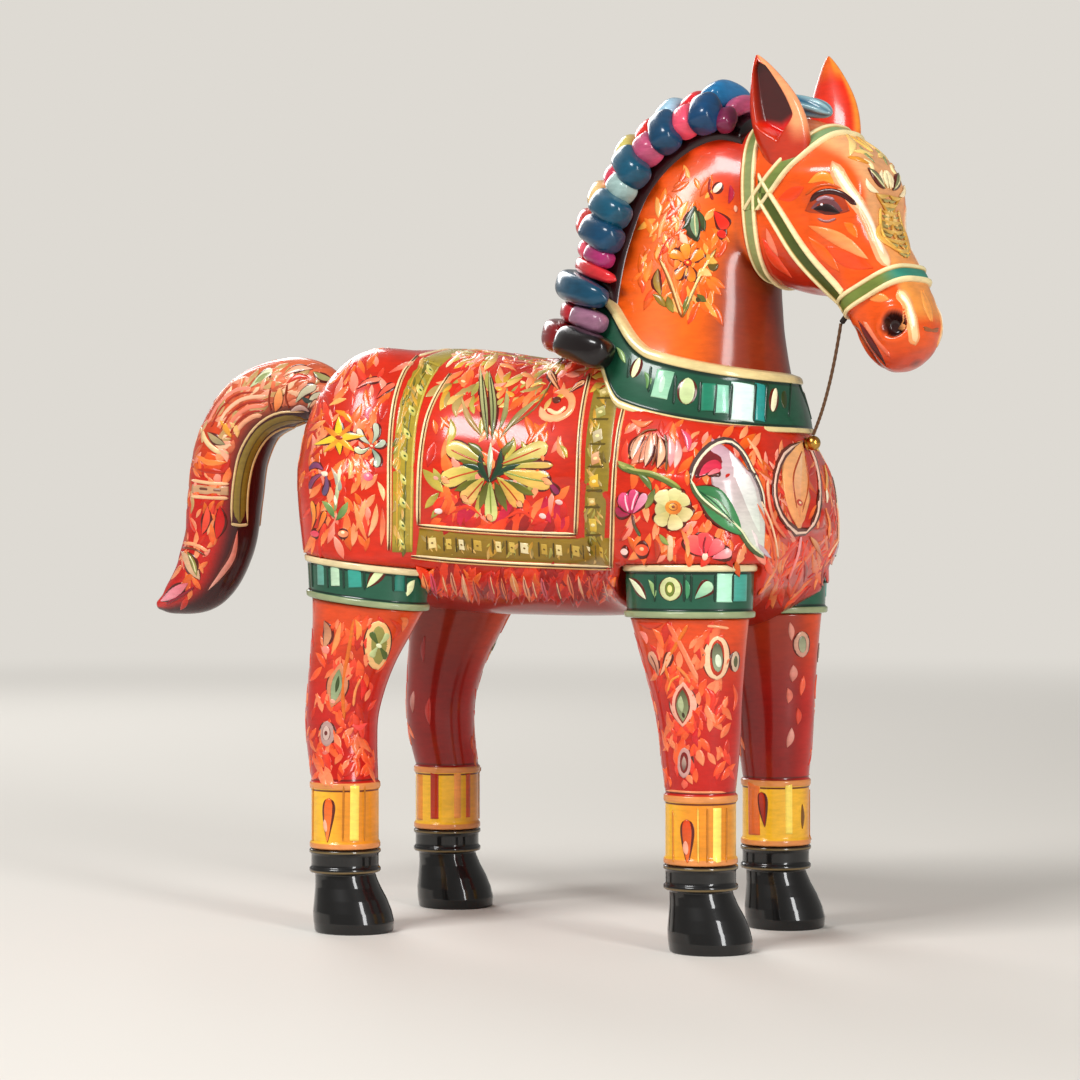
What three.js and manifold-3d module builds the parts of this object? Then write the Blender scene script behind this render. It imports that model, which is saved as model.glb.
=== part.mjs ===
// Hand-painted wooden horse figurine, standing square with its head turned a little to one side.
// Millimetres, +Z up, +X out of the chest; the horse's right side is -Y.
// Carved body parts are pegged together with dowels, and small turned, cut and rolled pieces are glued on.
import * as THREE from 'three'
import { mergeVertices } from 'three/addons/utils/BufferGeometryUtils.js'
import Module from 'manifold-3d'

const wasm = await Module()
wasm.setup()

// Fits between glued pieces
const seatGap = 0.3 // between two faces that are glued together
const pegGap = 0.3 // around and beyond each dowel, peg or spigot

// Main sizes of the body
const bodyLength = 157.5 // from the chest to the rump
const bodyWidth = 70 // of the barrel
const backHeight = 170 // of the rump above the ground

// The tables of carved forms below, and the places of small pieces on them, are drawn for a body
// 157.5 mm long, 70 mm wide and 170 mm high. These shares stretch them to the main sizes.
const along = bodyLength / 157.5
const wide = bodyWidth / 70
const tall = backHeight / 170

// Stance
const wheelbase = 110 * along // front soles to rear soles
const frontTrack = 59 // between the middles of the front hooves
const rearTrack = 66 // between the middles of the rear hooves

// Hooves and legs
const hoofHeight = 24
const hoofRingHeight = 7
const hoofRingRadius = 10.4
const hoofNeckRadius = 8.8
const soleLength = 23
const soleWidth = 22.4
const toeReach = 3 // the sole lies this far ahead of the fetlock
const cuffHeight = 19.5
const cuffRadius = 10.3
const ankleRadius = 9.7
const spigotRadius = 4.5
const spigotLength = 10
const legTopHeight = { front: 92 * tall, rear: 95 * tall }
const legTopLength = 33.8
const legTopWidth = 26.6
const frontLegRake = -3.3 // from the fetlock to the middle of the leg's top
const rearLegRake = 6.2

// Carved bands between the legs and the trunk
const bandHeight = { front: 14.6, rear: 12 }
const bandLength = 36.4
const bandWidth = 28.4
const bandFlare = 0.6 // a band's top is this much wider than its foot, all round
const lipHeight = 1.8
const lipDepth = 0.8
const rearBandSlope = 7 // degrees, falling towards the belly

// Trunk
const shoulderLength = 51 * along
const shoulderWidth = 45 * wide
const shoulderHeight = 66 * tall
const haunchLength = 45 * along
const haunchWidth = 43 * wide
const haunchHeight = 72 * tall
const blendRadius = 11 // of the carved hollows between trunk, shoulders, haunches and neck
const trunkCell = 7 // facet size of the carved trunk
const trunkUnevenness = 0.5 // the carved skin may stand proud of a band in it by this

// Neck collar
const collarDepth = 2.3
const collarLip = 0.8
const collarLipWidth = 1.7

// Dowels
const legDowelRadius = 4
const legDowelLength = 42
const neckDowelRadius = 6
const neckDowelLength = 34
const headDowelRadius = 4.5
const headDowelLength = 24
const tailPegRadius = 4
const tailPegLength = 14

// Head, ears and bridle
const headTurn = 12 // degrees, towards the horse's right
const headPivot = 56 * along // the turn's upright axis, ahead of the middle of the stance
const earHeight = { right: 22.5, left: 27 }
const earLength = 17
const earThickness = 8
const earSpread = 12 // from the middle of the poll to the middle of an ear's foot
const earLean = 13 // degrees, outwards
const earRake = 8 // degrees, backwards
const earPegRadius = 1.5
const earPegLength = 5
const strapWidth = 5
const strapThickness = 1
const reliefThickness = 0.7
const reliefWidth = 15
const reliefHeight = 38 * tall
const faceSlope = 20 // degrees, of the face's middle from upright

// Mane
const maneBedThickness = 2.6
const maneFootAngle = 58 // degrees of the neck's section covered on each side of the crest
const maneHeadAngle = 40
const lockRadius = 4.3
const beadRadius = 3.7

// Lead cord, its staple under the chin and its knob on the chest
const cordDiameter = 1
const cordSag = 0.8
const chinStapleReach = 4 // below the head's skin
const chinStapleRadius = 0.8
const knobRadius = 2.1
const knobStemRadius = 0.9
const knobStemLength = 5

const degrees = Math.PI / 180
const lerp = THREE.MathUtils.lerp
const facets = { limb: 14, neck: 20, head: 16, rod: 8, roll: 6, cord: 8 }

// Joining and cutting

function solidOf(geometry) {
  const bare = geometry.clone()
  bare.deleteAttribute('normal')
  bare.deleteAttribute('uv')
  const merged = mergeVertices(bare, 1e-4)
  return new wasm.Manifold(
    new wasm.Mesh({
      numProp: 3,
      vertProperties: new Float32Array(merged.attributes.position.array),
      triVerts: new Uint32Array(merged.index.array),
    })
  )
}

function geometryOf(solid) {
  const mesh = solid.getMesh()
  const geometry = new THREE.BufferGeometry()
  geometry.setAttribute('position', new THREE.Float32BufferAttribute(mesh.vertProperties, 3))
  geometry.setIndex(new THREE.Uint32BufferAttribute(mesh.triVerts, 1))
  geometry.computeVertexNormals()
  return geometry
}

function cut(geometry, ...tools) {
  return geometryOf(tools.reduce((body, tool) => body.subtract(solidOf(tool)), solidOf(geometry)))
}

function join(geometry, ...more) {
  return geometryOf(more.reduce((body, piece) => body.add(solidOf(piece)), solidOf(geometry)))
}

// Skins a list of rings of equal length. An open loft is capped flat, a closed one runs back to its start.
function loft(rings, closed = false) {
  const count = rings[0].length
  const positions = rings.flat().flatMap((p) => [p.x, p.y, p.z])
  const index = []
  const spans = closed ? rings.length : rings.length - 1
  for (let i = 0; i < spans; i++) {
    const next = (i + 1) % rings.length
    for (let j = 0; j < count; j++) {
      const k = (j + 1) % count
      const [a, b, c, d] = [i * count + j, i * count + k, next * count + k, next * count + j]
      index.push(a, b, c, a, c, d)
    }
  }
  if (!closed) {
    for (const [i, flip] of [[0, true], [rings.length - 1, false]]) {
      const middle = positions.length / 3
      const centre = rings[i].reduce((sum, p) => sum.add(p), new THREE.Vector3()).divideScalar(count)
      positions.push(centre.x, centre.y, centre.z)
      for (let j = 0; j < count; j++) {
        const [a, b] = [i * count + j, i * count + ((j + 1) % count)]
        index.push(middle, flip ? b : a, flip ? a : b)
      }
    }
  }
  const geometry = new THREE.BufferGeometry()
  geometry.setAttribute('position', new THREE.Float32BufferAttribute(positions, 3))
  geometry.setIndex(index)
  return facingOut(geometry)
}

// Turns the faces round where they enclose a negative volume.
function facingOut(geometry) {
  const p = geometry.attributes.position
  const index = geometry.index.array
  const corner = (i) => new THREE.Vector3().fromBufferAttribute(p, index[i])
  let volume = 0
  for (let i = 0; i < index.length; i += 3) volume += corner(i).dot(corner(i + 1).cross(corner(i + 2)))
  if (volume < 0) {
    for (let i = 0; i < index.length; i += 3) [index[i + 1], index[i + 2]] = [index[i + 2], index[i + 1]]
  }
  geometry.computeVertexNormals()
  return geometry
}

// Reads a smooth row between the rows of a table whose first column is the place along it.
function rowsAlong(table) {
  const width = table[0].length - 1
  const places = table.map((row) => row[0])
  const curve = new THREE.CubicInterpolant(places, table.flatMap((row) => row.slice(1)), width)
  return (place) => Array.from(curve.evaluate(THREE.MathUtils.clamp(place, places[0], places.at(-1))))
}

// Stretches a point of a form's side view, given as X and height, to the main sizes.
function sideView(x, z) {
  return [x * along, z * tall]
}

// Stretches the rows of a form that give a place, two points in side view and a half width.
function stretched(rows) {
  return rows.map(([place, x1, z1, x2, z2, half]) => [
    place,
    ...sideView(x1, z1),
    ...sideView(x2, z2),
    half * wide,
  ])
}

function range(from, to, steps) {
  return Array.from({ length: steps + 1 }, (_, i) => lerp(from, to, i / steps))
}

// What a function gives at evenly spaced angles of a full turn
function around(count, make) {
  return Array.from({ length: count }, (_, i) => make((i / count) * 2 * Math.PI))
}

// An oval ring lying across Z, sloping along X.
function ovalRing(x, y, z, halfLength, halfWidth, slope = 0, count = facets.limb) {
  return around(count, (angle) => {
    const reach = halfLength * Math.cos(angle)
    const fall = reach * Math.tan(slope * degrees)
    return new THREE.Vector3(x + reach, y + halfWidth * Math.sin(angle), z - fall)
  })
}

// A round rod from one point to another.
function rod(from, to, radius, count = facets.rod) {
  const geometry = new THREE.CylinderGeometry(radius, radius, from.distanceTo(to), count)
  const turn = new THREE.Quaternion().setFromUnitVectors(
    new THREE.Vector3(0, 1, 0),
    to.clone().sub(from).normalize()
  )
  return geometry.applyQuaternion(turn).translate(...from.clone().lerp(to, 0.5).toArray())
}

// A rod's two ends, each side of a seat, with a share of its length below it.
function dowelEnds(seat, direction, length, clearance = 0) {
  const reach = direction.clone().multiplyScalar(length / 2 + clearance)
  return [seat.clone().sub(reach), seat.clone().add(reach)]
}

// A solid skinned along a curve, whose radius is a function of the share of its length.
function swept(curve, radiusAt, steps, count = facets.roll) {
  const frames = curve.computeFrenetFrames(steps, false)
  return loft(
    range(0, 1, steps).map((share, i) =>
      around(count, (angle) =>
        curve
          .getPointAt(share)
          .addScaledVector(frames.normals[i], radiusAt(share) * Math.cos(angle))
          .addScaledVector(frames.binormals[i], radiusAt(share) * Math.sin(angle))
      )
    )
  )
}

// Neck: rows of crest point, throat point and half width, from inside the chest to the back of the head

const neckRows = stretched([
  [-1, -1, 152, 73, 132, 32],
  [0, 1.5, 160, 71, 141, 30],
  [1, 4, 168, 69.5, 149, 28],
  [2, 7, 178, 66.5, 160, 25],
  [3, 10, 190, 64.7, 171, 22.5],
  [4, 14.5, 203, 64, 179, 20.5],
  [5, 22.5, 219, 63.5, 183.5, 18.5],
  [6, 34.5, 229.5, 63, 186, 16.5],
  [7, 48, 233.5, 62.3, 187.3, 15],
  [8, 60, 230, 61.8, 188, 14],
])
const neckSeat = 1 // the row where the neck stands on the trunk
const neckTop = 8 // the row where the head sits against the neck
const neckRow = rowsAlong(neckRows)

// Turns a point of the head, or of the upper neck by a share, about the upright pivot.
function turned(point, share = 1) {
  const angle = -headTurn * degrees * share
  const x = point.x - headPivot
  return new THREE.Vector3(
    headPivot + x * Math.cos(angle) - point.y * Math.sin(angle),
    x * Math.sin(angle) + point.y * Math.cos(angle),
    point.z
  )
}

// A point on the neck's skin, or off it: angle 0 is the throat, half a turn is the crest.
function neckPoint(place, angle, off = 0) {
  const [crestX, crestZ, throatX, throatZ, halfWidth] = neckRow(place)
  const half = new THREE.Vector3((throatX - crestX) / 2, 0, (throatZ - crestZ) / 2)
  const grown = half.clone().setLength(half.length() + off)
  const point = new THREE.Vector3((throatX + crestX) / 2, 0, (throatZ + crestZ) / 2)
    .addScaledVector(grown, Math.cos(angle))
    .add(new THREE.Vector3(0, (halfWidth + off) * Math.sin(angle), 0))
  return turned(point, THREE.MathUtils.smoothstep(place, 3, neckTop))
}

function neckRing(place, off = 0) {
  return around(facets.neck, (angle) => neckPoint(place, angle, off))
}

// The middle of a neck section and the direction it faces
function neckAxis(place) {
  const middle = neckPoint(place, 0).add(neckPoint(place, Math.PI)).divideScalar(2)
  const forward = neckPoint(place, 0).sub(neckPoint(place, Math.PI)).normalize()
  const side = neckPoint(place, Math.PI / 2).sub(neckPoint(place, -Math.PI / 2)).normalize()
  return { middle, direction: forward.cross(side).normalize() }
}

const neckFoot = neckAxis(neckSeat)
const headSeat = neckAxis(neckTop)

// Legs: rows of height share, forward offset, half length and half width above the cuff

const legShapes = {
  front: [
    [0.3, 0, 0.6, 0.77],
    [0.45, 1.4, 0.65, 0.79],
    [0.64, 1.3, 0.73, 0.83],
    [0.82, 0.6, 0.86, 0.9],
    [1, 0, 1, 1],
  ],
  rear: [
    [0.3, -2.6, 0.6, 0.75],
    [0.53, -5, 0.63, 0.78],
    [0.75, -3.4, 0.74, 0.86],
    [0.9, -1.2, 0.88, 0.94],
    [1, 0, 1, 1],
  ],
}

const corners = [
  { name: 'front_right', end: 'front', side: -1 },
  { name: 'front_left', end: 'front', side: 1 },
  { name: 'rear_right', end: 'rear', side: -1 },
  { name: 'rear_left', end: 'rear', side: 1 },
].map((corner) => {
  const front = corner.end === 'front'
  const soleX = front ? wheelbase / 2 : -wheelbase / 2
  const fetlockX = soleX - toeReach
  return {
    ...corner,
    soleX,
    fetlockX,
    y: (corner.side * (front ? frontTrack : rearTrack)) / 2,
    topX: fetlockX + (front ? frontLegRake : rearLegRake),
    topY: corner.side * (frontTrack / 2 + (front ? 0 : 1)),
    slope: front ? 0 : rearBandSlope,
    legTop: legTopHeight[corner.end],
    bandFoot: legTopHeight[corner.end] + seatGap,
    bandTop: legTopHeight[corner.end] + seatGap + bandHeight[corner.end],
  }
})

const legBottom = hoofHeight + seatGap

function hoof(corner) {
  const waist = hoofHeight - hoofRingHeight
  const midLength = lerp(hoofNeckRadius, soleLength / 2, 0.62)
  const midWidth = lerp(hoofNeckRadius, soleWidth / 2, 0.62)
  const beadFoot = hoofHeight - 1.4 // the upper of the ring's two beads
  const grooveRadius = hoofRingRadius - 0.6
  const rows = [
    [0, toeReach, soleLength / 2, soleWidth / 2],
    [waist * 0.55, toeReach * 0.6, midLength, midWidth],
    [waist * 0.9, toeReach * 0.12, hoofNeckRadius + 0.2, hoofNeckRadius + 0.2],
    [waist, 0, hoofNeckRadius, hoofNeckRadius],
    [waist + 0.3, 0, hoofRingRadius, hoofRingRadius],
    [waist + 1.6, 0, hoofRingRadius, hoofRingRadius],
    [waist + 2, 0, grooveRadius, grooveRadius],
    [beadFoot, 0, grooveRadius, grooveRadius],
    [beadFoot + 0.4, 0, hoofRingRadius, hoofRingRadius],
    [hoofHeight, 0, hoofRingRadius, hoofRingRadius],
  ]
  const body = loft(rows.map(([z, ahead, a, b]) => ovalRing(corner.fetlockX + ahead, corner.y, z, a, b)))
  const foot = new THREE.Vector3(corner.fetlockX, corner.y, hoofHeight - 3)
  return join(body, rod(foot, foot.clone().setZ(hoofHeight + spigotLength), spigotRadius))
}

function leg(corner) {
  const shape = rowsAlong(legShapes[corner.end])
  const height = corner.legTop - legBottom
  const ring = (z, share, ahead, a, b, slope = 0) =>
    ovalRing(
      lerp(corner.fetlockX, corner.topX, share) + ahead,
      lerp(corner.y, corner.topY, share),
      z,
      a,
      b,
      slope
    )
  const cuffTop = legBottom + cuffHeight
  const turnedRows = [
    [legBottom, cuffRadius],
    [legBottom + 1.6, cuffRadius],
    [legBottom + 2, cuffRadius - 0.5],
    [cuffTop - 2.4, cuffRadius - 0.5],
    [cuffTop - 2, cuffRadius],
    [cuffTop - 0.4, cuffRadius],
    [cuffTop, ankleRadius],
  ]
  const cuff = turnedRows.map(([z, r]) => ring(z, 0, 0, r, r))
  const shank = range(0.3, 1, 6)
    .slice(1)
    .map((share) => {
      const [ahead, length, width] = shape(share)
      const z = legBottom + height * share
      const slope = corner.slope * THREE.MathUtils.smoothstep(share, 0.6, 1)
      return ring(z, share, ahead, (length * legTopLength) / 2, (width * legTopWidth) / 2, slope)
    })
  const spigot = rod(
    new THREE.Vector3(corner.fetlockX, corner.y, legBottom - 1),
    new THREE.Vector3(corner.fetlockX, corner.y, hoofHeight + spigotLength + pegGap),
    spigotRadius + pegGap
  )
  return cut(loft([...cuff, ...shank]), spigot, legDowel(corner, pegGap))
}

// The dowel through a band, square to it, from the leg into the trunk
function legDowel(corner, clearance = 0) {
  const middle = new THREE.Vector3(corner.topX, corner.topY, (corner.bandFoot + corner.bandTop) / 2)
  const direction = new THREE.Vector3(Math.sin(corner.slope * degrees), 0, Math.cos(corner.slope * degrees))
  return rod(...dowelEnds(middle, direction, legDowelLength, clearance), legDowelRadius + clearance)
}

function bandOutline(corner, z, grow) {
  const share = (z - corner.bandFoot) / (corner.bandTop - corner.bandFoot)
  const flare = bandFlare * (share - 0.5)
  const halfLength = bandLength / 2 + flare + grow
  const halfWidth = bandWidth / 2 + flare + grow
  return ovalRing(corner.topX, corner.topY, z, halfLength, halfWidth, corner.slope)
}

function band(corner) {
  const rows = [
    [corner.bandFoot, lipDepth],
    [corner.bandFoot + lipHeight, lipDepth],
    [corner.bandFoot + lipHeight + 0.3, 0],
    [corner.bandTop - lipHeight - 0.3, 0],
    [corner.bandTop - lipHeight, lipDepth],
    [corner.bandTop, lipDepth],
  ]
  const ring = loft(rows.map(([z, grow]) => bandOutline(corner, z, grow)))
  return cut(ring, legDowel(corner, pegGap))
}

// The rebate in the trunk for a band and the top of its leg
function bandRebate(corner) {
  const clearance = lipDepth + bandFlare + seatGap + trunkUnevenness
  const heights = [corner.bandFoot - 12, corner.bandTop + seatGap]
  return loft(heights.map((z) => bandOutline(corner, z, clearance)))
}

const stumpReach = 22 // how far each leg's form runs up into the trunk

// Trunk: rows of place along X, top, belly and half width

const barrelRows = [
  [-83, 140, 134, 1],
  [-81, 150, 122, 14],
  [-77, 158.5, 111, 23],
  [-71, 164.5, 102, 29],
  [-62, 168.3, 97, 33],
  [-50, 170, 94, 35],
  [-30, 169.8, 92, 35],
  [-10, 167, 91.5, 35],
  [10, 163, 91.5, 35],
  [30, 159, 92.5, 35],
  [50, 152, 94, 33],
  [61, 145, 97.5, 28],
  [69, 137, 103, 21],
  [73, 129, 112, 12],
  [74.5, 122, 120, 1],
].map(([x, top, belly, half]) => [x * along, top * tall, belly * tall, half * wide])
const barrelRow = rowsAlong(barrelRows)

function smoothMin(a, b) {
  const blend = Math.max(blendRadius - Math.abs(a - b), 0) / blendRadius
  return Math.min(a, b) - (blend * blend * blendRadius) / 4
}

function ovalField(p, q, halfP, halfQ) {
  return (Math.hypot(p / halfP, q / halfQ) - 1) * Math.min(halfP, halfQ)
}

function barrelField(x, y, z) {
  const [top, belly, halfWidth] = barrelRow(x)
  const past = Math.max(barrelRows[0][0] - x, x - barrelRows.at(-1)[0], 0)
  return ovalField(y, z - (top + belly) / 2, halfWidth, (top - belly) / 2) + past
}

function muscleField(x, y, z, centre, size) {
  const p = new THREE.Vector3(x, y, z).sub(centre)
  const r = size.clone().multiplyScalar(0.5)
  const near = p.clone().divide(r).length()
  const slope = p.clone().divide(r).divide(r).length()
  return slope > 0 ? (near * (near - 1)) / slope : -Math.min(r.x, r.y, r.z)
}

function stumpField(x, y, z, corner) {
  const rise = Math.max(z - corner.bandTop, 0) * 0.12
  const drop = corner.bandTop - 6 - z
  const halfLength = bandLength / 2 + 0.4 - rise
  const halfWidth = bandWidth / 2 + 0.4 - rise
  const oval = ovalField(x - corner.topX, y - corner.topY, halfLength, halfWidth)
  return Math.max(oval, drop, z - corner.bandTop - stumpReach)
}

// The foot of the neck, which runs on from the neck's lowest rows
function neckRootField(x, y, z) {
  const forward = neckPoint(neckSeat, 0).sub(neckPoint(neckSeat, Math.PI)).normalize()
  const away = new THREE.Vector3(x, 0, z).sub(neckFoot.middle)
  const height = away.dot(neckFoot.direction)
  const lowest = neckAxis(-1).middle.sub(neckFoot.middle)
  const share = height / lowest.dot(neckFoot.direction)
  const half = (place) => neckPoint(place, 0).distanceTo(neckPoint(place, Math.PI)) / 2
  const width = (place) => neckPoint(place, Math.PI / 2).y
  const halfLength = lerp(half(neckSeat), half(-1), share)
  const halfWidth = lerp(width(neckSeat), width(-1), share)
  const across = ovalField(away.dot(forward) - share * lowest.dot(forward), y, halfLength, halfWidth)
  return Math.max(across, height - 4, -28 - height)
}

const [frontCorner, rearCorner] = [corners[1], corners[3]]
const shoulder = {
  centre: new THREE.Vector3(wheelbase / 2 - 10 * along, 20 * wide, 121 * tall),
  size: new THREE.Vector3(shoulderLength, shoulderWidth, shoulderHeight),
}
const haunch = {
  centre: new THREE.Vector3(-wheelbase / 2 + 3 * along, 22 * wide, 133 * tall),
  size: new THREE.Vector3(haunchLength, haunchWidth, haunchHeight),
}

function trunkField(x, signedY, z) {
  const y = Math.abs(signedY)
  const parts = [
    barrelField(x, y, z),
    muscleField(x, y, z, shoulder.centre, shoulder.size),
    muscleField(x, y, z, haunch.centre, haunch.size),
    stumpField(x, y, z, frontCorner),
    stumpField(x, y, z, rearCorner),
    neckRootField(x, y, z),
  ]
  return parts.reduce(smoothMin)
}

// Skins the zero level of a field with one vertex in each cell that it crosses.
function carve(field, low, high, cell) {
  const size = high.clone().sub(low).divideScalar(cell).ceil().addScalar(1)
  const at = (i, j, k) => (k * size.y + j) * size.x + i
  const values = new Float32Array(size.x * size.y * size.z)
  for (let k = 0; k < size.z; k++) {
    for (let j = 0; j < size.y; j++) {
      for (let i = 0; i < size.x; i++) {
        values[at(i, j, k)] = field(low.x + i * cell, low.y + j * cell, low.z + k * cell)
      }
    }
  }
  const vertexIn = new Map()
  const positions = []
  const steps = [[1, 0, 0], [0, 1, 0], [0, 0, 1]]
  for (let k = 0; k < size.z - 1; k++) {
    for (let j = 0; j < size.y - 1; j++) {
      for (let i = 0; i < size.x - 1; i++) {
        const sum = new THREE.Vector3()
        let crossings = 0
        for (let corner = 0; corner < 8; corner++) {
          const c = [corner & 1, (corner >> 1) & 1, corner >> 2]
          for (const [axis, step] of steps.entries()) {
            if (c[axis]) continue
            const a = values[at(i + c[0], j + c[1], k + c[2])]
            const b = values[at(i + c[0] + step[0], j + c[1] + step[1], k + c[2] + step[2])]
            if (a < 0 === b < 0) continue
            const share = a / (a - b)
            sum.add(new THREE.Vector3(...c.map((v, n) => v + step[n] * share)))
            crossings++
          }
        }
        if (!crossings) continue
        const inCells = sum.divideScalar(crossings).add(new THREE.Vector3(i, j, k))
        const point = inCells.multiplyScalar(cell).add(low)
        vertexIn.set(at(i, j, k), positions.length / 3)
        positions.push(...ontoSkin(field, point).toArray())
      }
    }
  }
  const index = []
  for (let k = 1; k < size.z - 1; k++) {
    for (let j = 1; j < size.y - 1; j++) {
      for (let i = 1; i < size.x - 1; i++) {
        const inside = values[at(i, j, k)] < 0
        for (const [axis, step] of steps.entries()) {
          if (values[at(i + step[0], j + step[1], k + step[2])] < 0 === inside) continue
          const [u, v] = [steps[(axis + 1) % 3], steps[(axis + 2) % 3]]
          const around = [[0, 0], [1, 0], [1, 1], [0, 1]].map(([p, q]) =>
            vertexIn.get(at(i - p * u[0] - q * v[0], j - p * u[1] - q * v[1], k - p * u[2] - q * v[2]))
          )
          const [a, b, c, d] = inside ? around : around.reverse()
          index.push(a, b, c, a, c, d)
        }
      }
    }
  }
  const geometry = new THREE.BufferGeometry()
  geometry.setAttribute('position', new THREE.Float32BufferAttribute(positions, 3))
  geometry.setIndex(index)
  return facingOut(geometry)
}

// Carves with the given cell, or a little finer where two sheets of skin cross one cell.
function soundCarve(field, low, high, cell) {
  for (let size = cell; size > cell / 2; size *= 0.95) {
    const skin = carve(field, low, high, size)
    if (isClosed(skin)) return skin
  }
  throw new Error('the carved form is too thin for its facets')
}

// Whether each edge of a mesh is walked once each way
function isClosed(geometry) {
  const corners = Array.from(geometry.index.array)
  const next = corners.map((from, i) => (i % 3 === 2 ? corners[i - 2] : corners[i + 1]))
  const walked = new Set(corners.map((from, i) => `${from} ${next[i]}`))
  return walked.size === corners.length && corners.every((from, i) => walked.has(`${next[i]} ${from}`))
}

// Slides a point down the field's slope onto its zero level.
function ontoSkin(field, point) {
  const reach = 0.5
  for (let round = 0; round < 2; round++) {
    const here = field(point.x, point.y, point.z)
    const slope = new THREE.Vector3(
      field(point.x + reach, point.y, point.z) - here,
      field(point.x, point.y + reach, point.z) - here,
      field(point.x, point.y, point.z + reach) - here
    ).divideScalar(reach)
    const step = -here / Math.max(slope.lengthSq(), 0.25)
    point.addScaledVector(slope, THREE.MathUtils.clamp(step, -1, 1))
  }
  return point
}

function neckDowel(clearance = 0) {
  const ends = dowelEnds(neckFoot.middle, neckFoot.direction, neckDowelLength, clearance)
  return rod(...ends, neckDowelRadius + clearance)
}

function headDowel(clearance = 0) {
  const ends = dowelEnds(headSeat.middle, headSeat.direction, headDowelLength, clearance)
  return rod(...ends, headDowelRadius + clearance)
}

function trunk() {
  const [reach, side] = [2 * trunkCell, bodyWidth / 2 + 22]
  const belly = shoulder.centre.z - shoulderHeight / 2
  const low = new THREE.Vector3(barrelRows[0][0] - reach, -side, belly - reach)
  const high = new THREE.Vector3(barrelRows.at(-1)[0] + reach, side, backHeight + reach)
  const skin = soundCarve(trunkField, low, high, trunkCell)
  const seat = neckRing(neckSeat, 12)
  const aboveSeat = loft([seat, seat.map((p) => p.clone().addScaledVector(neckFoot.direction, 30))])
  const tools = [aboveSeat, collarRebate(), neckDowel(pegGap), tailPeg(pegGap), knobStem(pegGap)]
  for (const corner of corners) tools.push(bandRebate(corner), legDowel(corner, pegGap))
  return cut(skin, ...tools)
}

// The neck's own form, grown by an offset, from its seat or from a place below it
function neckBlank(off = 0, below = 0) {
  const places = [...(below ? [neckSeat - below] : []), ...range(neckSeat, neckTop, 10)]
  return loft(places.map((place) => neckRing(place, off)))
}

function neck() {
  const level = (rise) => neckRing(neckSeat, 2).map((p) => p.addScaledVector(neckFoot.direction, rise))
  const belowSeat = loft([level(-20), level(seatGap)])
  return cut(neckBlank(), belowSeat, neckDowel(pegGap), headDowel(pegGap))
}

// The collar hugs the joint between trunk and neck. Its edges, as places on the neck, dip at the sides.
const collarFoot = (angle) => 0.02 + 0.54 * Math.cos(2 * angle)
const collarTop = (angle) => 1.64 + 0.31 * Math.cos(2 * angle)

function collar() {
  const profile = [
    [0, 0, -3],
    [0, 0, collarDepth + collarLip],
    [0, collarLipWidth, collarDepth + collarLip],
    [0, collarLipWidth + 0.4, collarDepth],
    [1, -collarLipWidth - 0.4, collarDepth],
    [1, -collarLipWidth, collarDepth + collarLip],
    [1, 0, collarDepth + collarLip],
    [1, 0, -3],
  ]
  const section = (angle) =>
    profile.map(([upper, rise, off]) => {
      const edge = upper ? collarTop(angle) : collarFoot(angle)
      return neckPoint(edge, angle, off).addScaledVector(neckFoot.direction, rise)
    })
  return cut(loft(around(facets.neck, section), true), neckBlank(seatGap, 2))
}

// The trunk is cut back to the neck's own skin where the collar lies.
function collarRebate() {
  const section = (angle) => [
    neckPoint(collarFoot(angle), angle).addScaledVector(neckFoot.direction, -seatGap),
    neckPoint(collarFoot(angle), angle, 16).addScaledVector(neckFoot.direction, -seatGap),
    neckPoint(collarTop(angle), angle, 16),
    neckPoint(collarTop(angle), angle),
  ]
  return loft(around(facets.neck, section), true)
}

// Head: rows of face point, jaw point and half width, from the skull to the lips, before its turn

const headRows = stretched([
  [0, 60, 230, 61.8, 188, 14],
  [1, 68, 232.5, 69, 184.8, 15.5],
  [2, 77, 231.5, 76.5, 182.6, 16],
  [3, 86.5, 227.5, 82.5, 181.6, 15.8],
  [4, 95, 221.5, 87, 180.5, 15],
  [5, 100, 214, 89.5, 178.8, 14],
  [6, 100.6, 205.5, 91.2, 176.5, 13],
  [7, 102.4, 197.5, 92.4, 174, 12],
  [8, 106.8, 190.3, 93.6, 170.8, 11],
  [9, 110.8, 183, 95.2, 167, 10.6],
  [10, 113.6, 176, 97.4, 163.2, 10.3],
  [11, 114.2, 170, 101, 160.3, 9.2],
  [11.6, 113, 166.2, 104.5, 159.9, 6.8],
  [12, 111, 163.5, 107.8, 161, 3],
])
const headRow = rowsAlong(headRows)
const headSquareness = 2.4 // of a section: 2 is an ellipse

// A point on the head's skin, or off it: angle 0 is the middle of the face, half a turn is the jaw.
function headPoint(place, angle, off = 0) {
  const [faceX, faceZ, jawX, jawZ, halfWidth] = headRow(place)
  const corner = (value) => Math.sign(value) * Math.abs(value) ** (2 / headSquareness)
  const half = new THREE.Vector3((faceX - jawX) / 2, 0, (faceZ - jawZ) / 2)
  const grown = half.clone().setLength(half.length() + off)
  const past = place >= 12 ? off : 0
  const point = new THREE.Vector3((faceX + jawX) / 2 + past * 0.6, 0, (faceZ + jawZ) / 2 - past * 0.8)
    .addScaledVector(grown, corner(Math.cos(angle)))
    .add(new THREE.Vector3(0, (halfWidth + off) * corner(Math.sin(angle)), 0))
  return turned(point)
}

function headBlank(off = 0) {
  const places = [...range(0, 11, 11), 11.6, 12]
  const rings = places.map((place) => around(facets.head, (angle) => headPoint(place, angle, off)))
  rings[0].forEach((p) => p.addScaledVector(headSeat.direction, seatGap))
  return loft(rings)
}

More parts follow.
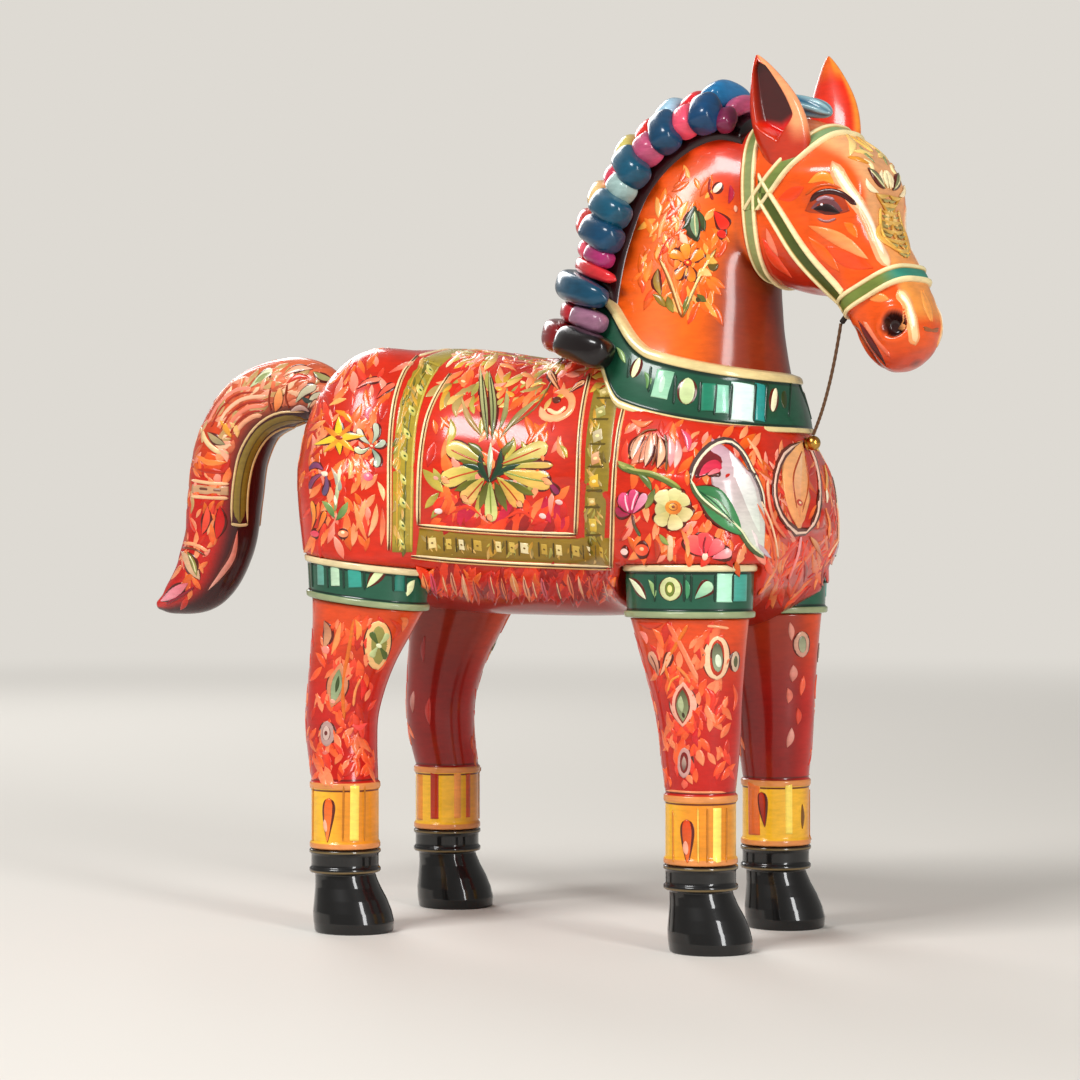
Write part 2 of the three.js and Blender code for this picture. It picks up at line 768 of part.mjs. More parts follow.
function head() {
  const pegs = [-1, 1].map((side) => earPeg(side, pegGap))
  return cut(headBlank(), headDowel(pegGap), ...pegs, chinStaple(pegGap))
}

// Ears

function earFrame(side) {
  const foot = turned(new THREE.Vector3(headPivot + 20 * along, side * earSpread, 219 * tall))
  const spin = new THREE.Euler(-side * earLean * degrees, -earRake * degrees, -headTurn * degrees, 'ZYX')
  return new THREE.Matrix4().makeRotationFromEuler(spin).setPosition(foot)
}

function ear(side) {
  const height = (side < 0 ? earHeight.right : earHeight.left) + 5
  const outline = rowsAlong([
    [0, 0.84, 0.95],
    [0.3, 1, 1],
    [0.55, 0.88, 0.86],
    [0.8, 0.5, 0.58],
    [0.95, 0.18, 0.3],
    [1, 0.05, 0.1],
  ])
  const shape = (from, to, size, shift) =>
    loft(
      range(from, to, 6).map((share) => {
        const [length, thickness] = outline(share)
        const [a, b] = [(length * earLength * size) / 2, (thickness * earThickness * size) / 2]
        return ovalRing(0, shift * side, share * height, a, b, 0, 8)
      })
    ).applyMatrix4(earFrame(side))
  const hollow = shape(0.3, 0.93, 0.74, earThickness * 0.36)
  const body = cut(shape(0, 1, 1, 0), hollow, headBlank(seatGap), strapSeat(latchLine), strapSeat(browLine))
  return join(body, earPeg(side))
}

function earPeg(side, clearance = 0) {
  const ends = [-earPegLength + 4 - clearance, 10].map((z) => new THREE.Vector3(0, 0, z))
  return rod(...ends.map((p) => p.applyMatrix4(earFrame(side))), earPegRadius + clearance)
}

// Bridle: straps are cut from a thin shell round the head by a slab along their line in side view.

function strapSlab(from, to, width, side = 0) {
  const line = new THREE.Vector2(to[0] - from[0], to[1] - from[1])
  const slab = new THREE.BoxGeometry(line.length(), side ? 40 : 80, width)
  slab.translate(0, side * 20, 0).rotateY(-line.angle())
  slab.translate((from[0] + to[0]) / 2, 0, (from[1] + to[1]) / 2)
  const turn = new THREE.Matrix4().makeRotationZ(-headTurn * degrees)
  return slab.translate(-headPivot, 0, 0).applyMatrix4(turn).translate(headPivot, 0, 0)
}

// The part of a shell round the head that lies in a block, cut clear of neighbouring straps
function skinPiece(block, thickness, neighbours) {
  const shell = solidOf(headBlank(seatGap + thickness)).subtract(solidOf(headBlank(seatGap)))
  const gaps = neighbours.map((other) => solidOf(strapSlab(...other, strapWidth + 2 * seatGap)))
  return geometryOf(gaps.reduce((body, gap) => body.subtract(gap), shell.intersect(solidOf(block))))
}

function strap(line, side, ...neighbours) {
  return skinPiece(strapSlab(...line, strapWidth, side), strapThickness, neighbours)
}

// The room that a strap and its gaps take on the head
function strapSeat(line) {
  const grown = solidOf(headBlank(2 * seatGap + strapThickness))
  return geometryOf(grown.intersect(solidOf(strapSlab(...line, strapWidth + 2 * seatGap))))
}

const latchLine = [sideView(63.4, 236), sideView(65.6, 180)]
const browLine = [sideView(66, 206.5), sideView(96, 236.5)]
const cheekLine = [sideView(69.5, 210), sideView(93.1, 179)]
const noseLine = [sideView(84, 174.3), sideView(116, 190)]

// Gilt relief down the middle of the face, between the browband and the noseband
function faceRelief() {
  const [half, rise] = [reliefWidth / 2, reliefHeight / 2]
  const leaf = new THREE.Shape()
  leaf.moveTo(0, -rise)
  leaf.bezierCurveTo(half, -rise * 0.3, half * 1.2, rise * 0.6, 0, rise)
  leaf.bezierCurveTo(-half * 1.2, rise * 0.6, -half, -rise * 0.3, 0, -rise)
  const block = new THREE.ExtrudeGeometry(leaf, { depth: 30, bevelEnabled: false, curveSegments: 5 })
  const [across, up, out] = [[0, 1, 0], [0, 0, 1], [1, 0, 0]].map((axis) => new THREE.Vector3(...axis))
  block.applyMatrix4(new THREE.Matrix4().makeBasis(across, up, out)).rotateY(-faceSlope * degrees)
  const [x, z] = sideView(90, 204)
  block.translate(x - headPivot, 0, z).rotateZ(-headTurn * degrees).translate(headPivot, 0, 0)
  return skinPiece(block, reliefThickness, [noseLine, browLine])
}

// Mane: rolled locks and rows of beads, laid across a strip that follows the crest

const crest = Math.PI
const maneFoot = 2.3 // the bed's lowest place on the neck
const maneHead = 7.75

const maneStart = 0.85 // the lowest lock's place, over the back of the collar
const maneAngle = (place) =>
  THREE.MathUtils.mapLinear(place, maneFoot, maneHead, maneFootAngle, maneHeadAngle) * degrees

function maneBed() {
  const rings = range(maneFoot, maneHead, 9).map((place) => {
    const half = maneAngle(place)
    const fold = range(-half, half, 6)
    const outer = fold.map((angle) => neckPoint(place, crest + angle, seatGap + maneBedThickness))
    const inner = fold.map((angle) => neckPoint(place, crest + angle, -2)).reverse()
    return [...outer, ...inner]
  })
  return cut(loft(rings), neckBlank(seatGap))
}

// The locks and rows of beads in order from the withers
const blue = 0x2a6a84
const manePieces = [
  { name: 'mane_end_tuft', colour: 0x3a1216, radius: lockRadius * 1.1 },
  { name: 'mane_beads_1', colour: 0xc4666c, radius: beadRadius * 0.8, beads: 4 },
  { name: 'mane_lock_1', colour: blue, radius: lockRadius },
  { name: 'mane_lock_2', colour: 0xc4605c, radius: beadRadius * 0.62 },
  { name: 'mane_beads_2', colour: 0xb04c68, radius: beadRadius * 0.7, beads: 4 },
  { name: 'mane_lock_3', colour: blue, radius: lockRadius },
  { name: 'mane_lock_4', colour: blue, radius: lockRadius },
  { name: 'mane_beads_3', colour: 0xb85466, radius: beadRadius * 0.9, beads: 4 },
  { name: 'mane_lock_5', colour: blue, radius: lockRadius },
  { name: 'mane_beads_4', colour: 0xc8302c, radius: beadRadius, beads: 4 },
  { name: 'mane_lock_6', colour: blue, radius: lockRadius },
  { name: 'mane_beads_5', colour: 0xd0404c, radius: beadRadius * 0.95, beads: 4 },
  { name: 'mane_lock_7', colour: blue, radius: lockRadius },
  { name: 'mane_beads_6', colour: 0xb06878, radius: beadRadius * 0.7, beads: 3 },
]

// Sets the locks side by side along the crest, slimmer where it is short, with each one's place on the neck.
function maneRows() {
  const ride = seatGap + maneBedThickness + lockRadius
  const places = range(maneStart, maneHead, 40)
  const line = new THREE.CatmullRomCurve3(places.map((place) => neckPoint(place, crest, ride)))
  line.arcLengthDivisions = 400
  const length = line.getLength()
  const filled = manePieces.reduce((sum, piece) => sum + 2 * piece.radius + seatGap, 0)
  const slimness = Math.min(1, length / filled)
  const spare = (length - slimness * filled) / manePieces.length + seatGap
  let reach = 0
  return manePieces.map((piece) => {
    const radius = piece.radius * slimness
    reach += radius + spare / 2
    const place = lerp(maneStart, maneHead, line.getUtoTmapping(0, reach))
    reach += radius + spare / 2
    return { ...piece, radius, place }
  })
}

function maneLock(piece) {
  const seat = piece.place < maneFoot ? collarDepth : maneBedThickness + seatGap
  const off = seat + 0.5 * seatGap + piece.radius
  const half = maneAngle(piece.place) * (piece.beads ? 0.74 : 0.84)
  const curve = new THREE.CatmullRomCurve3(
    range(-half, half, 6).map((angle) => neckPoint(piece.place, crest + angle, off))
  )
  const radiusAt = (share) => {
    const fromEnd = Math.min(share, 1 - share) * 2
    const end = Math.sqrt(Math.min(1, fromEnd * 5 + 0.2))
    const bumps = piece.beads ? 0.7 + 0.3 * Math.abs(Math.sin(share * Math.PI * piece.beads)) : 1
    return piece.radius * bumps * end * lerp(0.74, 1, Math.min(1, fromEnd * 1.6))
  }
  return swept(curve, radiusAt, piece.beads ? piece.beads * 3 : 8)
}

function forelock() {
  const radius = lockRadius
  const rise = 0.96 * radius
  const curve = new THREE.CatmullRomCurve3(range(0.5, 2.3, 6).map((place) => headPoint(place, 0, rise)))
  const radiusAt = (share) => radius * Math.sqrt(Math.min(1, Math.min(share, 1 - share) * 6 + 0.15))
  return swept(curve, radiusAt, 9)
}

// Tail: rows of middle and half depth along its fall, narrowing to a flicked-out tip

const tailLine = [
  [-79, 155],
  [-86, 158.5],
  [-95, 158.5],
  [-108, 153],
  [-115.5, 141],
  [-118, 127],
  [-120, 113],
  [-126, 101.5],
  [-137, 94.5],
  [-142, 93],
].map(([x, z]) => new THREE.Vector3(x * along, 0, z * tall))
const tailRoot = tailLine[0]
const tailFall = new THREE.CatmullRomCurve3(tailLine)
const tailDepth = 23
const tailWidth = 19
const tailShape = rowsAlong([
  [0, 0.6, 0.62],
  [0.1, 0.84, 0.85],
  [0.3, 1, 1],
  [0.72, 1, 0.95],
  [0.84, 0.86, 0.8],
  [0.93, 0.5, 0.5],
  [1, 0.12, 0.15],
])

function tail() {
  const rings = range(0, 1, 16).map((share) => {
    const [depth, width] = tailShape(share)
    const centre = tailFall.getPointAt(share)
    const run = tailFall.getTangentAt(share)
    const across = new THREE.Vector3(run.z, 0, -run.x)
    return around(facets.limb, (angle) =>
      centre
        .clone()
        .addScaledVector(across, (depth * tailDepth * Math.cos(angle)) / 2)
        .add(new THREE.Vector3(0, (width * tailWidth * Math.sin(angle)) / 2, 0))
    )
  })
  return join(cut(loft(rings), trunkSkinAtTail()), tailPeg())
}

// The rump's skin near the tail's root, grown by the seat's gap
function trunkSkinAtTail() {
  const reach = tailDepth
  const grown = (x, y, z) =>
    Math.max(trunkField(x, y, z) - 1.6 * seatGap, tailRoot.distanceTo(new THREE.Vector3(x, y, z)) - reach)
  const half = new THREE.Vector3(1, 1, 1).multiplyScalar(reach + 6)
  return soundCarve(grown, tailRoot.clone().sub(half), tailRoot.clone().add(half), 3)
}

function tailPeg(clearance = 0) {
  const inwards = new THREE.Vector3(1, 0, -0.35).normalize()
  const inner = tailRoot.clone().addScaledVector(inwards, tailPegLength + clearance)
  return rod(tailRoot.clone().addScaledVector(inwards, -6), inner, tailPegRadius + clearance)
}

// Lead: a staple under the chin, a cord down to a knob on the chest

const knobCentre = new THREE.Vector3(74.3 * along, 0, 141 * tall)
const chinPoint = headPoint(6.3, -0.86 * Math.PI)
const chinDrop = new THREE.Vector3(-0.6, 0, -0.8)

function knobStem(clearance = 0) {
  const back = knobCentre.clone().add(new THREE.Vector3(-knobStemLength - clearance, 0, -1))
  return rod(back, knobCentre, knobStemRadius + clearance, 8)
}

function knob() {
  const ball = new THREE.SphereGeometry(knobRadius, 10, 6).translate(...knobCentre.toArray())
  return join(ball, knobStem())
}

function chinStaple(clearance = 0) {
  const lower = chinPoint.clone().addScaledVector(chinDrop, chinStapleReach)
  const upper = chinPoint.clone().addScaledVector(chinDrop, -3 - clearance)
  return rod(upper, lower, chinStapleRadius + clearance, 8)
}

const cordTop = chinPoint.clone().addScaledVector(chinDrop, chinStapleReach + seatGap)
const cordFoot = knobCentre.clone().add(new THREE.Vector3(0, 0, knobRadius + seatGap))

function leadCord() {
  const middle = cordTop.clone().lerp(cordFoot, 0.55).add(new THREE.Vector3(cordSag, 0, -1))
  const curve = new THREE.CatmullRomCurve3([cordTop, middle, cordFoot])
  const radius = cordDiameter / 2
  const section = new THREE.Shape(
    around(facets.cord, (angle) => new THREE.Vector2(radius * Math.cos(angle), radius * Math.sin(angle)))
  )
  return new THREE.ExtrudeGeometry(section, { steps: 13, extrudePath: curve, bevelEnabled: false })
}

// Assembly

const paint = {
  red: 0xc4240f,
  orange: 0xe06a1c,
  green: 0x1d5a41,
  gold: 0xd9a441,
  black: 0x0d0c0c,
  strap: 0x8a8a4a,
  wood: 0xb98b5a,
  cord: 0x4a3320,
  tail: 0xd6492c,
}

const figure = new THREE.Group()

function add(name, geometry, colour, roughness = 0.22) {
  const material = new THREE.MeshStandardMaterial({ color: colour, roughness, metalness: 0 })
  const mesh = new THREE.Mesh(geometry, material)
  mesh.name = name
  figure.add(mesh)
}

add('torso', trunk(), paint.red)
add('neck', neck(), paint.orange)
add('neck_collar', collar(), paint.green)
add('head', head(), paint.orange)
add('neck_dowel', neckDowel(), paint.wood, 0.7)
add('head_dowel', headDowel(), paint.wood, 0.7)
for (const corner of corners) {
  add(`leg_${corner.name}`, leg(corner), paint.red)
  add(`leg_band_${corner.name}`, band(corner), paint.green)
  add(`hoof_${corner.name}`, hoof(corner), paint.black, 0.12)
  add(`leg_dowel_${corner.name}`, legDowel(corner), paint.wood, 0.7)
}
for (const [side, name] of [[-1, 'right'], [1, 'left']]) {
  add(`ear_${name}`, ear(side), paint.orange)
  add(`cheek_strap_${name}`, strap(cheekLine, side, latchLine, browLine, noseLine), paint.strap)
}
add('throat_latch', strap(latchLine, 0), paint.strap)
add('browband', strap(browLine, 0, latchLine), paint.strap)
add('noseband', cut(strap(noseLine, 0), chinStaple(pegGap)), paint.strap)
add('face_relief', faceRelief(), paint.gold, 0.3)
add('forelock', forelock(), 0x6f8c94, 0.35)
add('mane_bed', maneBed(), paint.black, 0.4)
for (const piece of maneRows()) add(piece.name, maneLock(piece), piece.colour, 0.3)
add('tail', tail(), paint.tail)
add('chest_knob', knob(), paint.gold, 0.3)
add('chin_staple', chinStaple(), paint.black, 0.3)
add('lead_cord', leadCord(), paint.cord, 0.8)

// The origin lies on the ground under the middle of the figure.
const box = new THREE.Box3().setFromObject(figure)
figure.position.set(-(box.min.x + box.max.x) / 2, -(box.min.y + box.max.y) / 2, -box.min.z)

export default figure
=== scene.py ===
import bpy
import numpy as np
from mathutils import Matrix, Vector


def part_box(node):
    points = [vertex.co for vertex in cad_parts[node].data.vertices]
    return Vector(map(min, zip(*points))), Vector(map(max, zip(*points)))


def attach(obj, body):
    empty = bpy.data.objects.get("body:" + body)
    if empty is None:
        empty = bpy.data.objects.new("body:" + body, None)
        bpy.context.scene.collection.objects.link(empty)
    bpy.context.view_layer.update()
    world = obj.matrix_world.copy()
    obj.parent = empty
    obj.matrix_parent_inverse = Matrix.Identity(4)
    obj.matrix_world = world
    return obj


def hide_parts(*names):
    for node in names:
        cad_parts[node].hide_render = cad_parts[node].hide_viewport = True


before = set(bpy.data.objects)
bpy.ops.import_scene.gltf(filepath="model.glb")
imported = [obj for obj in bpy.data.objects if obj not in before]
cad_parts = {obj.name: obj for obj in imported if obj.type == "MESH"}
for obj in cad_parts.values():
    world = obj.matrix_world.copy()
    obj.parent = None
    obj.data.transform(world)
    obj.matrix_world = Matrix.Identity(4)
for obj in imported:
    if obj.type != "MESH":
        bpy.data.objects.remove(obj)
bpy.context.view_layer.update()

# Camera, lamps and floor. The photograph shows the horse from its right front quarter, almost level,
# from about 0.9 m. Lengths are millimetres counted from the middle of the four soles, as in the part's source.

front_toe_ahead, photo_size, sensor_width = 66.5, 1080, 36
soles_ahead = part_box("hoof_front_right")[1].x * 1000 - front_toe_ahead
yaw, rise, distance, focal_pixels = np.radians(25.0), np.radians(0.2), 900.0, 3060.0
look_at = np.array([-10.8, 0.0, 113.5])
back = np.array([np.sin(yaw) * np.cos(rise), -np.cos(yaw) * np.cos(rise), np.sin(rise)])
right = np.array([np.cos(yaw), np.sin(yaw), 0.0])
above = np.cross(back, right)
eye = look_at + back * distance


def metres(points):
    """Points as the frame has them: moved forward by the soles' place and turned from millimetres to metres."""
    return (np.asarray(points, float) + [soles_ahead, 0, 0]) / 1000


def hexed(code):
    """An sRGB hex colour as linear red, green, blue and alpha."""
    srgb = np.array([int(code[i : i + 2], 16) for i in (1, 3, 5)]) / 255
    return np.append(np.where(srgb < 0.04045, srgb / 12.92, ((srgb + 0.055) / 1.055) ** 2.4), 1.0)


def node(tree, kind, values=(), links=(), **settings):
    """Adds a node with its settings, its inputs' values and the sockets that feed its inputs."""
    made = tree.nodes.new(kind)
    for key, value in settings.items():
        setattr(made, key, value)
    for key, value in dict(values).items():
        made.inputs[key].default_value = value
    for key, source in dict(links).items():
        tree.links.new(source, made.inputs[key])
    return made


def material(name):
    """A new material with an empty tree, and its tree."""
    made = bpy.data.materials.new(name)
    made.use_nodes = True
    made.node_tree.nodes.clear()
    return made, made.node_tree


camera = bpy.data.objects.new("camera", bpy.data.cameras.new("camera"))
camera.data.lens, camera.data.sensor_width = focal_pixels / photo_size * sensor_width, sensor_width
turn = Matrix(np.column_stack([right, above, back]).tolist()).to_4x4()
camera.matrix_world = Matrix.Translation(metres(eye).tolist()) @ turn
bpy.context.scene.collection.objects.link(camera)
bpy.context.scene.camera = camera
bpy.context.scene.view_settings.view_transform = "Standard"


def softbox(name, place, target, width, height, watts):
    """A square area lamp at a place, facing a target."""
    lamp = bpy.data.objects.new(name, bpy.data.lights.new(name, "AREA"))
    lamp.data.shape, lamp.data.size, lamp.data.size_y, lamp.data.energy = "RECTANGLE", width, height, watts
    away = np.subtract(place, target) / np.linalg.norm(np.subtract(place, target))
    side = np.cross([0, 0, 1], away)
    side /= np.linalg.norm(side)
    facing = Matrix(np.column_stack([side, np.cross(away, side), away]).tolist()).to_4x4()
    lamp.matrix_world = Matrix.Translation(place) @ facing
    bpy.context.scene.collection.objects.link(lamp)


body_middle, backdrop_grey, floor_reach = (0, 0, 0.12), "#dedad3", 8.0
softbox("key_lamp", (-0.35, -1.05, 1.15), body_middle, 0.6, 0.4, 19)
softbox("front_lamp", (1.2, -0.75, 0.5), body_middle, 0.25, 0.9, 12)
softbox("rim_lamp", (-0.9, 0.9, 0.8), body_middle, 0.6, 0.8, 8)

world = bpy.data.worlds.new("studio")
world.use_nodes = True
bpy.context.scene.world = world
world.node_tree.nodes.clear()
path = node(world.node_tree, "ShaderNodeLightPath")
fill = node(world.node_tree, "ShaderNodeBackground", {"Color": hexed("#f4f1ec"), "Strength": 0.32})
seen_back = node(world.node_tree, "ShaderNodeBackground", {"Color": hexed(backdrop_grey), "Strength": 1.0})
mixed = node(
    world.node_tree, "ShaderNodeMixShader",
    links={0: path.outputs["Is Camera Ray"], 1: fill.outputs[0], 2: seen_back.outputs[0]})
node(world.node_tree, "ShaderNodeOutputWorld", links={"Surface": mixed.outputs[0]})

floor_mesh = bpy.data.meshes.new("floor")
corners = [(x * floor_reach, y * floor_reach, 0) for x, y in ((-1, -1), (1, -1), (1, 1), (-1, 1))]
floor_mesh.from_pydata(corners, [], [(0, 1, 2, 3)])
floor = bpy.data.objects.new("floor", floor_mesh)
bpy.context.scene.collection.objects.link(floor)
paper, tree = material("matt paper")
sheet = node(tree, "ShaderNodeBsdfPrincipled", {"Base Color": hexed("#d8d4cd"), "Roughness": 0.9})
# The sheet fades into the backdrop between 0.4 m and 2 m from the horse.
where = node(tree, "ShaderNodeTexCoord").outputs["Object"]
away = node(tree, "ShaderNodeVectorMath", {}, {0: where}, operation="LENGTH").outputs["Value"]
span = {"From Min": 0.4, "From Max": 2.0}
fade = node(tree, "ShaderNodeMapRange", span, {"Value": away}, interpolation_type="SMOOTHSTEP").outputs[0]
backdrop = node(tree, "ShaderNodeEmission", {"Color": hexed(backdrop_grey), "Strength": 1.0})
sheet = node(tree, "ShaderNodeMixShader", links={0: fade, 1: sheet.outputs[0], 2: backdrop.outputs[0]})
node(tree, "ShaderNodeOutputMaterial", links={"Surface": sheet.outputs[0]})
floor_mesh.materials.append(paper)

# Lead cord. The real one is a dark brown cord of two plies, about 1 mm thick and 35 mm long,
# tied from the staple under the noseband to the knob on the chest with almost no slack.

cord_places = np.array([[87.309, -13.577, 173.436], [80.954, -6.11, 155.916], [74.3, 0.0, 143.4]])
cord_thickness, ply_pitch = 1.0, 3.6


def quads(rows, columns, closed=False):
    """The four-cornered faces of a grid of points, joined round its columns, and round its rows where closed."""
    i, j = np.meshgrid(np.arange(rows - (not closed)), np.arange(columns), indexing="ij")
    a, b = i * columns + j, i * columns + (j + 1) % columns
    c, d = (i + 1) % rows * columns + (j + 1) % columns, (i + 1) % rows * columns + j
    return np.stack([a, b, c, d], -1).reshape(-1, 4)


def enclosed(points, faces):
    """Six times the volume within faces: the sum of the triple products of their triangles' corners."""
    p = points[faces]
    pairs = range(1, faces.shape[1] - 1)
    return sum(np.einsum("ij,ij->i", p[:, 0], np.cross(p[:, a], p[:, a + 1])).sum() for a in pairs)


def outward(points, faces):
    """The faces, turned round where they enclose a negative volume."""
    return faces[:, ::-1] if enclosed(points, faces) < 0 else faces


def solid_mesh(name, points, faces, colours, finish, slot, *replaced):
    """A smooth mesh on the root body from points in millimetres, with a paint colour for each point, in place of
    nodes of the solids."""
    mesh = bpy.data.meshes.new(name)
    parts = faces if isinstance(faces, list) else [faces]
    mesh.from_pydata(metres(points).tolist(), [], [f for part in parts for f in part.tolist()])
    mesh.polygons.foreach_set("use_smooth", np.ones(len(mesh.polygons), bool))
    if colours is not None:
        paint = mesh.color_attributes.new("paint", "FLOAT_COLOR", "POINT")
        full = np.broadcast_to(colours, (len(points), 4)).astype(np.float32)
        paint.data.foreach_set("color", full.ravel())
    made = bpy.data.objects.new(name, mesh)
    bpy.context.scene.collection.objects.link(made)
    mesh.materials.append(finish)
    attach(made, "root")
    for node_name in replaced:
        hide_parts(node_name)
    return made


def capped(rings):
    """Points and faces of a row of closed rings, with a fan over each end."""
    rows, columns = rings.shape[:2]
    ends = rings[[0, -1]].mean(1)
    points = np.vstack([rings.reshape(-1, 3), ends])
    j = np.arange(columns)
    k = (j + 1) % columns
    last = (rows - 1) * columns
    first_fan = np.stack([np.full(columns, rows * columns), k, j], -1)
    last_fan = np.stack([np.full(columns, rows * columns + 1), last + j, last + k], -1)
    walls = quads(rows, columns)
    fans = np.vstack([first_fan, last_fan])
    return points, [walls, fans] if enclosed(points, walls) > 0 else [walls[:, ::-1], fans[:, ::-1]]


def unit(vectors):
    """Vectors at length 1."""
    return vectors / np.maximum(np.linalg.norm(vectors, axis=-1, keepdims=True), 1e-9)


def full_turn(count):
    """Angles spread evenly over a full turn."""
    return np.linspace(0, 2 * np.pi, count, endpoint=False)


def lattice(rows, columns):
    """The values of rows and of columns at each point of their grid."""
    return np.meshgrid(rows, columns, indexing="ij")


def around(spin, out, side):
    """The direction from a path's middle at each angle, from the direction out and the direction to the side."""
    return np.cos(spin)[..., None] * out + np.sin(spin)[..., None] * side


share = np.linspace(0, 1, 120)
bend = 4 * share * (1 - share) * (cord_places[1] - cord_places[[0, 2]].mean(0)).reshape(3, 1)
cord_path = cord_places[0] + np.outer(share, cord_places[2] - cord_places[0]) + bend.T
tangent = unit(np.gradient(cord_path, axis=0))
side = unit(np.cross(tangent, [0.0, 0, 1.0]))
front = np.cross(side, tangent)
length = np.linalg.norm(np.diff(cord_path, axis=0), axis=1).sum()
angle = full_turn(20)
lay = 2 * np.pi * share[:, None] * length / ply_pitch
radius = cord_thickness / 2 * (0.78 + 0.22 * np.abs(np.cos(angle - lay)))
rings = cord_path[:, None] + radius[..., None] * around(angle[None], side[:, None], front[:, None])
# Waxed cotton: matt, dark brown, a little lighter on the crowns of the plies.
waxed_cotton, tree = material("waxed cotton cord")
tone = node(tree, "ShaderNodeVertexColor", layer_name="paint")
strand = node(tree, "ShaderNodeBsdfPrincipled", {"Roughness": 0.75}, {"Base Color": tone.outputs[0]})
node(tree, "ShaderNodeOutputMaterial", links={"Surface": strand.outputs[0]})
crown, dark_brown = (radius / cord_thickness * 2).reshape(-1, 1) ** 3, hexed("#2a1a10")
tones = np.vstack([dark_brown * (1 - crown) + hexed("#6b4a2e") * crown, dark_brown, dark_brown])
lead_cord = solid_mesh("lead_cord_plies", *capped(rings), tones, waxed_cotton, "lead_cord", "lead_cord")

# Trunk. Carved from one block of soft wood: a barrel with shoulders, haunches and the stumps of the legs
# blended into it, then primed, painted red and lacquered to a high gloss.

wheelbase, front_track, rear_track, toe_reach = 110.0, 59.0, 66.0, 3.0
front_rake, rear_rake, rear_slope = -3.3, 6.2, 7.0
band_foot, band_height = {"front": 92.3, "rear": 95.3}, {"front": 14.6, "rear": 12.0}
band_length, band_width, blend_radius = 36.4, 28.4, 11.0
leg_top = {"front": (wheelbase / 2 - toe_reach + front_rake, front_track / 2),
           "rear": (-wheelbase / 2 - toe_reach + rear_rake, front_track / 2 + 1)}
barrel_rows = [
    [-83, 140, 134, 1], [-81, 150, 122, 14], [-77, 158.5, 111, 23], [-71, 164.5, 102, 29], [-62, 168.3, 97, 33],
    [-50, 170, 94, 35], [-30, 169.8, 92, 35], [-10, 167, 91.5, 35], [10, 163, 91.5, 35], [30, 159, 92.5, 35],
    [50, 152, 94, 33], [61, 145, 97.5, 28], [69, 137, 103, 21], [73, 129, 112, 12], [74.5, 122, 120, 1],
]
neck_rows = [
    [-1, -1, 152, 73, 132, 32], [0, 1.5, 160, 71, 141, 30], [1, 4, 168, 69.5, 149, 28], [2, 7, 178, 66.5, 160, 25],
    [3, 10, 190, 64.7, 171, 22.5], [4, 14.5, 203, 64, 179, 20.5], [5, 22.5, 219, 63.5, 183.5, 18.5],
    [6, 34.5, 229.5, 63, 186, 16.5], [7, 48, 233.5, 62.3, 187.3, 15], [8, 60, 230, 61.8, 188, 14],
]
head_turn, head_pivot = np.radians(12.0), 56.0


def along(table, place):
    """Reads a table, whose first column is the place, on the cubic through its rows with slopes from their
    neighbours."""
    table = np.asarray(table, float)
    t, rows = table[:, 0], table[:, 1:]
    last = len(t) - 1
    place = np.clip(place, t[0], t[-1])
    i = np.clip(np.searchsorted(t, place, side="right"), 1, last)
    t0, t1, y0, y1 = t[i - 1], t[i], rows[i - 1], rows[i]
    first, final = (i < 2)[..., None], (i >= last)[..., None]
    lower, upper = np.maximum(i - 2, 0), np.minimum(i + 1, last)
    before, after = np.where(i < 2, t1, t[lower]), np.where(i >= last, t0, t[upper])
    y_before, y_after = np.where(first, y1, rows[lower]), np.where(final, y0, rows[upper])
    p = ((place - t0) / (t1 - t0))[..., None]
    a, b = (0.5 * (t1 - t0) / (t0 - before))[..., None], (0.5 * (t1 - t0) / (after - t1))[..., None]
    q, c = p * p, p * p * p
    return (
        (-a * c + 2 * a * q - a * p) * y_before
        + ((1 + a) * c + (-1.5 - 2 * a) * q + (-0.5 + a) * p + 1) * y0
        + ((-1 - b) * c + (1.5 + b) * q + 0.5 * p) * y1
        + (b * c - b * q) * y_after
    )


def smooth(value, low, high):
    """A share that rises smoothly from 0 at low to 1 at high."""
    s = np.clip((np.asarray(value, float) - low) / (high - low), 0, 1)
    return s * s * (3 - 2 * s)


def turned(points, share=1.0):
    """Points turned about the head's upright pivot, by a share of the head's turn."""
    a = -head_turn * share
    x, y, z = points[..., 0] - head_pivot, points[..., 1], points[..., 2]
    return np.stack([head_pivot + x * np.cos(a) - y * np.sin(a), x * np.sin(a) + y * np.cos(a), z], -1)


def section(rows, place, angle, off, square=1.0):
    """A point of a section between its two middle points: an oval, or squarer, grown by an offset."""
    first_x, first_z, second_x, second_z, width = np.moveaxis(along(rows, place), -1, 0)
    half = np.stack([(second_x - first_x) / 2, 0 * width, (second_z - first_z) / 2], -1)
    grown = half * (1 + np.asarray(off) / np.linalg.norm(half, axis=-1))[..., None]
    bent = lambda v: np.sign(v) * np.abs(v) ** square
    middle = np.stack([(second_x + first_x) / 2, 0 * width, (second_z + first_z) / 2], -1)
    across = np.stack([0 * width, (width + off) * bent(np.sin(angle)), 0 * width], -1)
    return middle + grown * bent(np.cos(angle))[..., None] + across


def neck_point(place, angle, off=0.0):
    """The neck's skin, or off it: angle 0 is the throat and half a turn is the crest. It twists as it rises."""
    place, angle, off = np.broadcast_arrays(np.asarray(place, float), angle, off)
    return turned(section(neck_rows, place, angle, off), smooth(place, 3, 8))


def run_lengths(points, power=1):
    """The length of a path up to each of its points, or the sum of its steps' powers."""
    return np.concatenate([[0], np.cumsum(np.linalg.norm(np.diff(points, axis=0), axis=1) ** power)])


